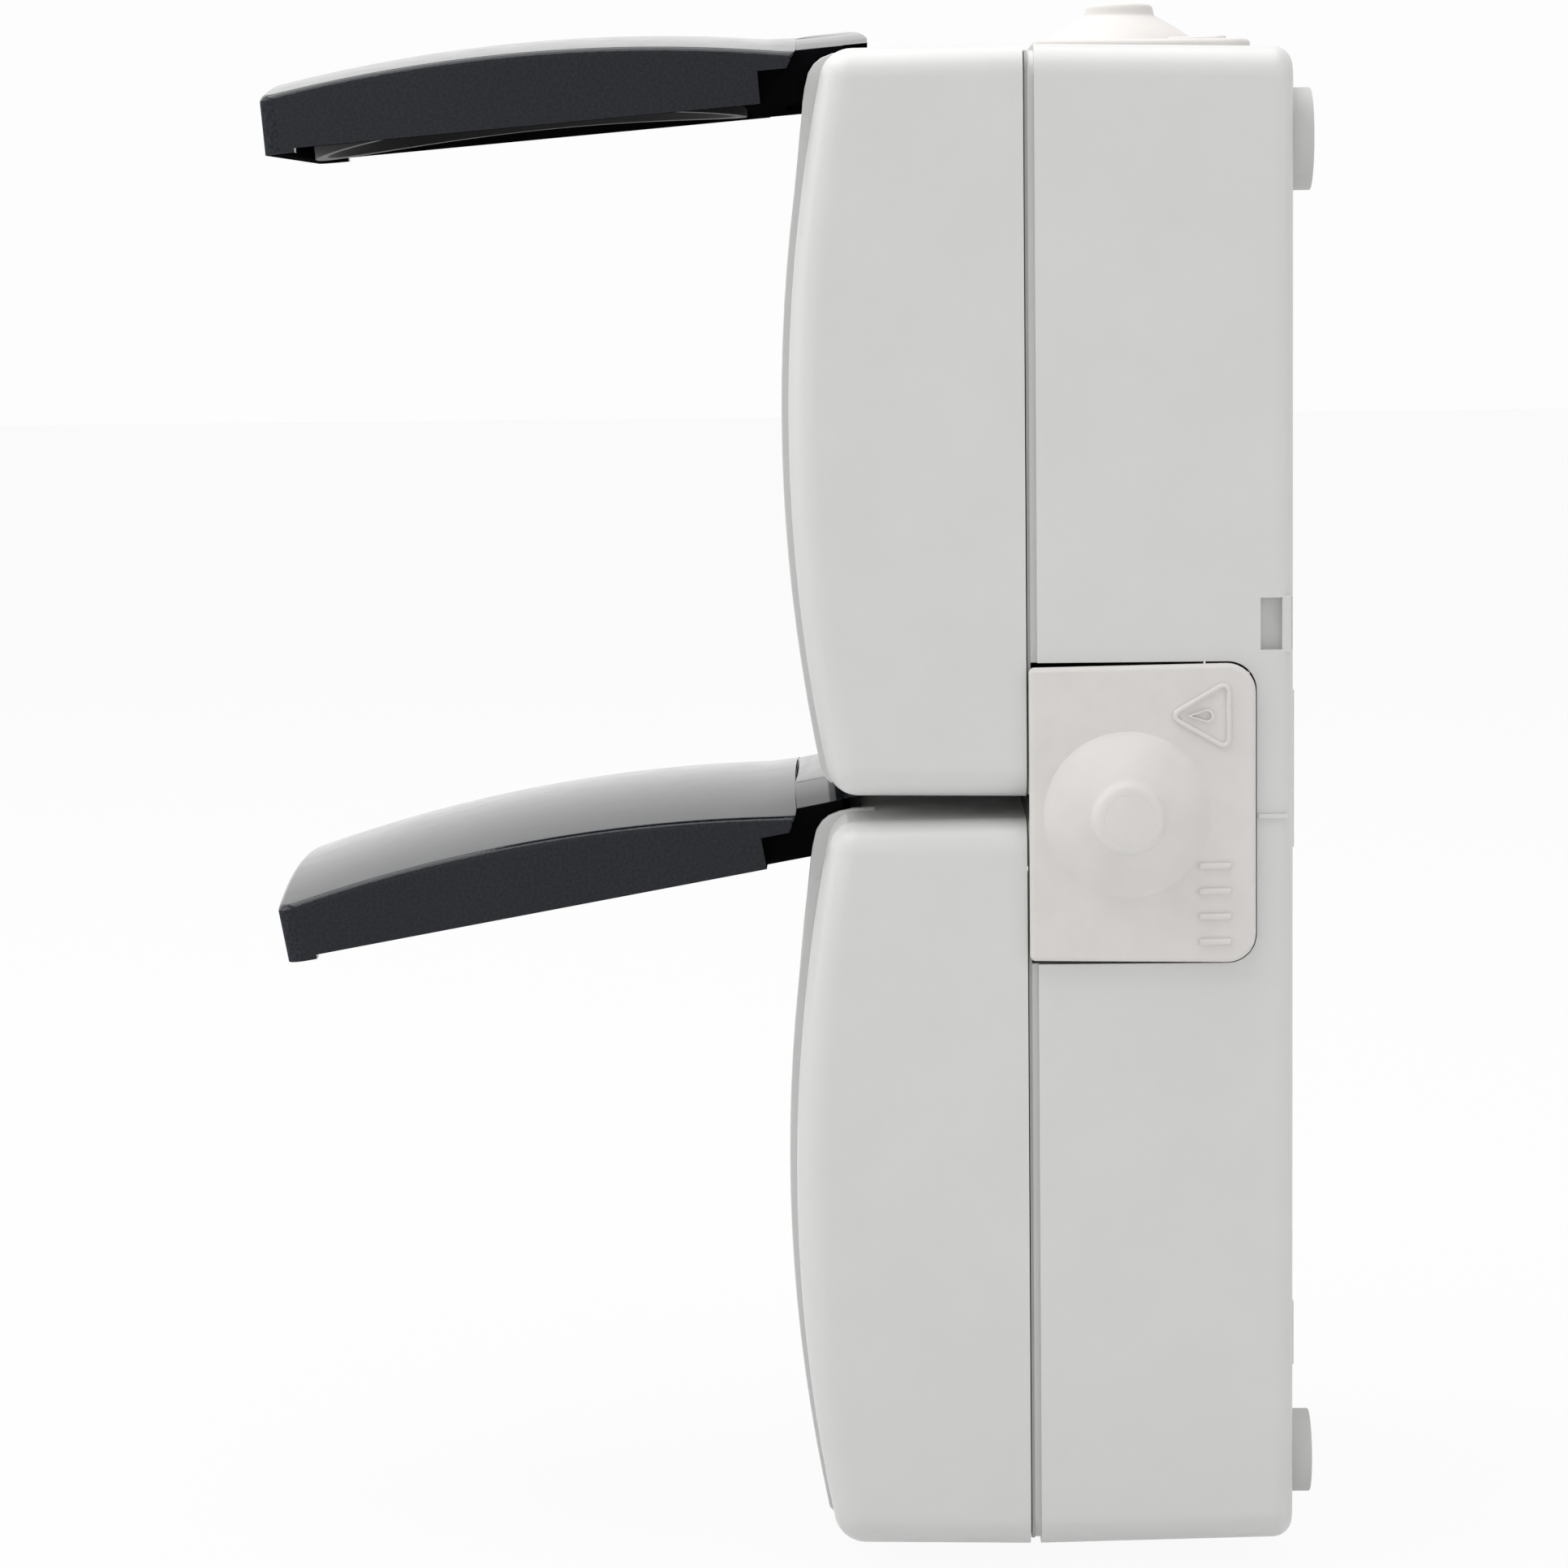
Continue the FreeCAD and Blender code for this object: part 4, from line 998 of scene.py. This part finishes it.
@dataclass
class EntryTiles:
    """The soft cable-entry tiles in the side and top walls.

    A tile is made lying on its back: outer face at height 0, front edge along x. The drop's tip,
    bulb and centre lie below the mark's centre.
    """

    shop: Workshop
    trees: Trees
    side_place: tuple[float, float, float] = (34.0, -26.4, -0.4)
    top_place: tuple[float, float, float] = (0.0, -25.1, 71.0)
    front_half: float = 13.58
    rear_half: float = 13.88
    length: float = 20.82
    thick: float = 1.45
    foot_corner: float = 0.5
    corner: float = 2.7
    round_mm: float = 0.6
    core_half: float = 13.0
    core_span: tuple[float, float] = (0.9, 20.3)
    core_foot: float = -3.0
    core_thick: float = 1.9
    dome_y: float = 9.0
    dome_steps: int = 96
    dome: tuple[tuple[float, float], ...] = (
        (7.75, -0.3), (7.7, 0.0), (7.5, 0.12), (7.25, 0.32), (6.95, 0.6), (6.5, 0.94), (6.0, 1.28),
        (5.5, 1.6), (5.0, 1.9), (4.6, 2.13), (4.2, 2.35), (3.75, 2.6), (3.5, 2.72), (3.38, 2.9),
        (3.3, 3.25), (3.22, 3.55), (3.1, 3.75), (2.9, 3.86), (2.6, 3.92), (0.4, 3.92))
    line_height: float = 0.08
    mark: tuple[float, float] = (9.1, 16.5)
    mark_radius: float = 3.64
    mark_rounding: float = 0.55
    mark_line: float = 0.24
    ring_corners: int = 48
    ring_radius: float = 2.35
    ring_rounding: float = 0.02
    ring_line: float = 0.1
    ring_height: float = 3.84
    bars: tuple[float, float] = (-4.8, 15.6)
    bar_count: int = 4
    bar_pitch: float = 2.35
    bar_length: float = 2.85
    bar_line: float = 0.3
    drop_tip: float = 2.1
    drop_bulb: float = 0.15
    drop_centre: float = 0.5
    drop_radius: float = 0.62
    drop_start: float = -20.0
    drop_sweep: float = 220.0
    drop_steps: int = 12
    drop_rim: tuple[tuple[float, float], ...] = ((1.0, -0.2), (0.97, 0.3), (0.72, 0.3), (0.68, -0.2))

    def marks(self) -> list[bpy.types.Mesh]:
        """Makes the raised triangle with its drop, the plain bars and the ring on the boss.

        Returns:
            The meshes, each in its place on the tile.
        """
        finish = self.shop.materials[Slot.TILE]
        line = self.trees.corner_line()
        triangle = self.shop.grown(line, {
            "Corners": 3, "Radius": self.mark_radius * MM, "Rounding": self.mark_rounding * MM,
            "Line": self.mark_line * MM, "Finish": finish})
        x, y = self.mark
        spot = Matrix.Translation((x * MM, y * MM, self.line_height * MM))
        triangle.transform(spot @ Matrix.Rotation(math.pi / -2, 4, "Z"))
        ring = self.shop.grown(line, {
            "Corners": self.ring_corners, "Radius": self.ring_radius * MM,
            "Rounding": self.ring_rounding * MM, "Line": self.ring_line * MM, "Finish": finish})
        ring.transform(Matrix.Translation((0.0, self.dome_y * MM, self.ring_height * MM)))
        row = self.shop.grown(self.trees.bar_row(), {
            "Count": self.bar_count, "Pitch": self.bar_pitch * MM, "Length": self.bar_length * MM,
            "Line": self.bar_line * MM, "Finish": finish})
        row.transform(Matrix.Translation((self.bars[0] * MM, self.bars[1] * MM, self.line_height * MM)))
        return [triangle, ring, row, self.drop()]

    def drop(self) -> bpy.types.Mesh:
        """Makes the raised rim of the drop inside the triangle.

        Returns:
            The closed mesh.
        """
        x, y = self.mark
        outline = [Vector((x, y - self.drop_tip, 0.0))]
        for i in range(self.drop_steps + 1):
            a = math.radians(self.drop_start + self.drop_sweep * i / self.drop_steps)
            side, rise = self.drop_radius * math.cos(a), self.drop_radius * math.sin(a)
            outline.append(Vector((x + side, y - self.drop_bulb + rise, 0.0)))
        centre = Vector((x, y - self.drop_centre, 0.0))
        bm = bmesh.new()
        hoops = []
        for share, height in self.drop_rim:
            lift = Vector((0.0, 0.0, height))
            hoops.append([bm.verts.new((centre + (p - centre) * share + lift) * MM) for p in outline])
        for low, high in zip(hoops, hoops[1:] + hoops[:1]):
            belt(bm, low, high)
        return solid(bm, "drop")

    def tile(self) -> bpy.types.Mesh:
        """Makes one tile: plate, core, membrane dome and marks.

        Returns:
            The closed mesh, lying on its back.
        """
        front, rear, length = self.front_half, self.rear_half, self.length
        radii = (self.foot_corner, self.foot_corner, self.corner, self.corner)
        outline = rounded(-rear, rear, 0.0, length, radii)
        taper = [(x * (front + (rear - front) * y / length) / rear, y, -self.thick) for x, y in outline]
        plate = bmesh.new()
        prism(plate, taper, (0.0, 0.0, self.thick))
        piece = self.shop.placed("tile", solid(plate, "tile"))
        self.shop.soften(piece, self.round_mm, segments=4)
        body = self.shop.taken(piece)
        side, foot = self.core_half, self.core_foot
        near, far = self.core_span
        core = [(-side, near, foot), (side, near, foot), (side, far, foot), (-side, far, foot)]
        prism(body, core, (0.0, 0.0, self.core_thick))
        spun(body, list(self.dome), (0.0, self.dome_y), self.dome_steps)
        for mesh in self.marks():
            body.from_mesh(mesh)
        return solid(body, "tile")

    def build(self) -> None:
        """Makes the three tiles."""
        x, y, z = (size * MM for size in self.side_place)
        spots = {
            "right": Matrix(((0, 0, 1, x), (0, 1, 0, y), (1, 0, 0, z), (0, 0, 0, 1))),
            "left": Matrix(((0, 0, -1, -x), (0, 1, 0, y), (1, 0, 0, z), (0, 0, 0, 1))),
            "top": Matrix.Translation([size * MM for size in self.top_place]),
        }
        tile = self.tile()
        for side, place in spots.items():
            bm = bmesh.new()
            bm.from_mesh(tile)
            bmesh.ops.transform(bm, matrix=place, verts=bm.verts)
            node = f"entry_tile_{side}"
            piece = self.shop.placed(f"cable_tile_{side}", solid(bm, node))
            self.shop.settle(piece)
            self.shop.finish(piece, Slot.TILE, node)


@dataclass
class Lids:
    """The two hinged lids with their gaskets and pins.

    A place on a lid is given by its way along the lid from the axis and its height above the rim.
    """

    shop: Workshop
    edge_mm: float = 0.15
    gasket_edge_mm: float = 0.1
    pin_edge_mm: float = 0.08
    opened: tuple[float, float] = (85.3, 79.7)
    rim_plane: float = 3.0
    side_half: float = 22.9
    skirt_from: float = 2.0
    tip_from: float = 50.0
    facing: float = 0.3
    tongue_half: float = 20.6
    rod_half: float = 21.8
    knuckle: float = 2.8
    knuckle_front: float = -46.6
    knuckle_below: float = -4.2
    foot_end: float = 8.0
    foot_top: float = -0.05
    hump_from: float = 4.2
    hump_end: float = 3.0
    hump_blend: float = 2.0
    hump_raise: float = 0.42

    def trim(self, number: int) -> Callable[[bpy.types.Mesh], None]:
        """Gives the step that shapes a lid at its hinge.

        It keeps the knuckle and the foot of the tongue behind the ears, down to the rim's plane, and
        rounds the hump up a little more.

        Args:
            number: 0 for the upper lid, 1 for the lower one.

        Returns:
            A function that changes the mesh.
        """
        turn = math.radians(self.opened[number])
        ahead, up = math.sin(turn), math.cos(turn)

        def shape(mesh: bpy.types.Mesh) -> None:
            """Moves the vertices near the hinge.

            Args:
                mesh: the lid's mesh.
            """
            for vertex in mesh.vertices:
                y, z = vertex.co.y / MM - HINGE_Y, vertex.co.z / MM - HINGE_Z[number]
                along = -y * ahead - z * up
                high = -y * up + z * ahead - self.rim_plane
                start = high
                tongue = abs(vertex.co.x) < self.tongue_half * MM
                foot = tongue and along < self.foot_end and high < self.foot_top
                if foot and y + HINGE_Y < self.knuckle_front:
                    if math.hypot(y, z) < self.knuckle and high < self.knuckle_below:
                        vertex.co.y = self.knuckle_front * MM
                        continue
                    high = self.foot_top
                    if math.hypot(y, z) < self.knuckle:
                        along = (HINGE_Y - self.knuckle_front - (high + self.rim_plane) * up) / ahead
                if high > self.hump_from and along < self.hump_end:
                    rise = self.hump_raise * min(1.0, high - self.hump_from)
                    high += rise * min(1.0, (self.hump_end - along) / self.hump_blend)
                if high != start:
                    reach = high + self.rim_plane
                    vertex.co.y = (HINGE_Y - reach * up - along * ahead) * MM
                    vertex.co.z = (HINGE_Z[number] + reach * ahead - along * up) * MM
        return shape

    def shorten(self, mesh: bpy.types.Mesh) -> None:
        """Ends a hinge rod inside the ears.

        Args:
            mesh: the rod's mesh.
        """
        for vertex in mesh.vertices:
            vertex.co.x = max(-self.rod_half * MM, min(self.rod_half * MM, vertex.co.x))

    def paint_inside_shade(self, piece: bpy.types.Object, number: int) -> None:
        """Paints shade on the inside, the tongue and the knuckle: they get a darker, non-reflecting copy of
        the lid plastic.

        The top and the sides keep the outer finish, and the end of the skirt at the tip is matt.

        Args:
            piece: the finished lid.
            number: 0 for the upper lid, 1 for the lower one.
        """
        turn = math.radians(self.opened[number])
        outward = Vector((0.0, -math.cos(turn), math.sin(turn)))
        along = Vector((0.0, -math.sin(turn), -math.cos(turn)))
        axis = Vector((0.0, HINGE_Y * MM, HINGE_Z[number] * MM))
        mesh = piece.data
        # painted shade for the inside, tongue and knuckle
        mesh.materials.append(self.shop.lid_inside)
        mesh.materials.append(self.shop.lid_tip)
        for face in mesh.polygons:
            way = along.dot(face.center - axis)
            side = abs(face.center.x) > self.side_half * MM and way > self.skirt_from * MM
            top = outward.dot(face.normal) > self.facing
            tip = along.dot(face.normal) > self.facing and way > self.tip_from * MM
            part = LidFace.TIP if tip and not top else LidFace.OUTSIDE if side or top else LidFace.INSIDE
            face.material_index = part.value

    def build(self) -> None:
        """Makes both lids."""
        for number, gang in enumerate(Gang):
            tag = gang.value
            lid = self.shop.refined(f"lid_{tag}", f"hinged_lid_{tag}", Slot.LID, self.edge_mm,
                                    reshape=self.trim(number))
            self.paint_inside_shade(lid, number)
            ring = self.shop.refined(f"lid_gasket_{tag}", f"lid_seal_{tag}", Slot.SEAL, self.gasket_edge_mm)
            ring.data.materials[0] = self.shop.lid_ring
            self.shop.refined(f"hinge_pin_{tag}", f"hinge_rod_{tag}", Slot.PIN, self.pin_edge_mm,
                              reshape=self.shorten)


@dataclass
class Inserts:
    """What sits behind the wells: socket inserts with contacts, straps, frames and screws."""

    shop: Workshop
    strap_edge_mm: float = 0.08
    hidden: tuple[tuple[str, Slot], ...] = (
        ("insert_body", Slot.INSERT), ("support_frame", Slot.STEEL), ("frame_screws", Slot.STEEL),
        ("terminal_screws", Slot.STEEL), ("contact_live", Slot.BRASS), ("contact_neutral", Slot.BRASS))

    def build(self) -> None:
        """Dresses the hidden nodes and refines those that the wells show."""
        for gang in Gang:
            tag = gang.value
            self.shop.refined(f"earth_strap_{tag}", f"earth_bow_{tag}", Slot.STEEL, self.strap_edge_mm)
            for stem, slot in self.hidden:
                self.shop.dress(f"{stem}_{tag}", slot)


@dataclass(frozen=True)
class Softbox:
    """A large square soft lamp that faces the object, in metres and watts."""

    name: str
    place: tuple[float, float, float]
    edge: float
    power: float

    def hang(self) -> None:
        """Puts the lamp into the scene."""
        data = bpy.data.lights.new(self.name, "AREA")
        data.size = self.edge
        data.energy = self.power
        lamp = bpy.data.objects.new(self.name, data)
        aim = (Vector() - Vector(self.place)).to_track_quat("-Z", "Y")
        lamp.matrix_world = Matrix.Translation(self.place) @ aim.to_matrix().to_4x4()
        bpy.context.scene.collection.objects.link(lamp)


@dataclass
class Studio:
    """Camera, soft lamps, floor and world, with places in metres."""

    eye: tuple[float, float, float] = (0.46297, -0.04114, 0.05186)
    yaw: float = 1.0463
    pitch: float = 6.5286
    roll: float = -0.6709
    lens_mm: float = 107.758
    sensor_mm: float = 36.0
    nearest: float = 0.01
    daylight: float = 0.53
    backdrop: float = 0.982
    floor_z: float = -0.0726
    floor_half: float = 3.0
    floor_tone: float = 0.8
    floor_shown: float = 0.986
    floor_share: float = 0.95
    lamps: tuple[Softbox, ...] = (
        Softbox("top_softbox", (0.0, -0.25, 0.75), 0.9, 7.6),
        Softbox("side_softbox", (0.9, -0.5, 0.35), 0.8, 0.3),
        Softbox("front_softbox", (0.0, -1.0, 0.2), 0.7, 2.2),
        Softbox("rear_softbox", (0.6, 0.6, 0.3), 0.6, 1.2))

    def build(self) -> None:
        """Sets up everything round the object."""
        self.camera()
        self.world()
        self.floor()
        for lamp in self.lamps:
            lamp.hang()
        bpy.context.scene.view_settings.view_transform = "Standard"

    def camera(self) -> None:
        """Places the camera as the photograph's view was measured."""
        yaw, pitch, roll = (math.radians(a) for a in (self.yaw, self.pitch, self.roll))
        ahead = Vector((-math.cos(yaw) * math.cos(pitch), -math.sin(yaw) * math.cos(pitch), -math.sin(pitch)))
        right = ahead.cross(Vector((0, 0, 1))).normalized()
        up = right.cross(ahead)
        across = math.cos(roll) * right + math.sin(roll) * up
        over = -math.sin(roll) * right + math.cos(roll) * up
        data = bpy.data.cameras.new("camera")
        data.lens = self.lens_mm
        data.sensor_width = self.sensor_mm
        data.sensor_fit = "HORIZONTAL"
        data.clip_start = self.nearest
        view = bpy.data.objects.new("camera", data)
        turn = Matrix((across, over, -ahead)).transposed().to_4x4()
        view.matrix_world = Matrix.Translation(self.eye) @ turn
        bpy.context.scene.collection.objects.link(view)
        bpy.context.scene.camera = view

    def world(self) -> None:
        """Lights the scene evenly and shows a white backdrop to the camera."""
        world = bpy.data.worlds.new("studio")
        bpy.context.scene.world = world
        world.use_nodes = True
        graph = Graph(world.node_tree)
        lit = graph.add("ShaderNodeBackground", {0: (1.0, 1.0, 1.0, 1.0), 1: self.daylight})
        seen = graph.add("ShaderNodeBackground", {0: (*(self.backdrop,) * 3, 1.0), 1: 1.0})
        mix = graph.add("ShaderNodeMixShader", {0: self.shown(graph), 1: lit.outputs[0], 2: seen.outputs[0]})
        graph.add("ShaderNodeOutputWorld", {0: mix.outputs[0]})

    def shown(self, graph: Graph) -> bpy.types.NodeSocket:
        """Gives 1 for rays that show the backdrop: straight, mirrored or through glass.

        Args:
            graph: the tree to add to.

        Returns:
            The share as a socket.
        """
        rays = graph.add("ShaderNodeLightPath")
        mirrored = graph.maths("MAXIMUM", rays.outputs["Is Camera Ray"], rays.outputs["Is Glossy Ray"])
        return graph.maths("MAXIMUM", mirrored, rays.outputs["Is Transmission Ray"])

    def floor(self) -> None:
        """Lays a wide pale floor under the object."""
        half = self.floor_half
        places = ((-half, -half), (half, -half), (half, half), (-half, half))
        mesh = bpy.data.meshes.new("floor")
        mesh.from_pydata([(x, y, self.floor_z) for x, y in places], [], [(0, 1, 2, 3)])
        floor = bpy.data.objects.new("floor", mesh)
        bpy.context.scene.collection.objects.link(floor)
        material = bpy.data.materials.new("pale_floor")
        material.use_nodes = True
        graph = Graph(material.node_tree)
        matt = graph.add("ShaderNodeBsdfDiffuse", {0: (*(self.floor_tone,) * 3, 1.0)})
        glow = graph.add("ShaderNodeEmission", {0: (*(self.floor_shown,) * 3, 1.0), 1: 1.0})
        share = graph.maths("MULTIPLY", self.shown(graph), self.floor_share)
        mix = graph.add("ShaderNodeMixShader", {0: share, 1: matt.outputs[0], 2: glow.outputs[0]})
        graph.add("ShaderNodeOutputMaterial", {0: mix.outputs[0]})
        mesh.materials.append(material)


def main() -> None:
    """Builds the pieces in order."""
    logging.basicConfig(level=logging.INFO, format="%(name)s: %(message)s")
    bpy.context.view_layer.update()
    shop = Workshop()
    trees = Trees()
    Housing(shop, trees).build()
    EntryTiles(shop, trees).build()
    Lids(shop).build()
    Inserts(shop).build()
    Studio().build()


if __name__ == "__main__":
    main()
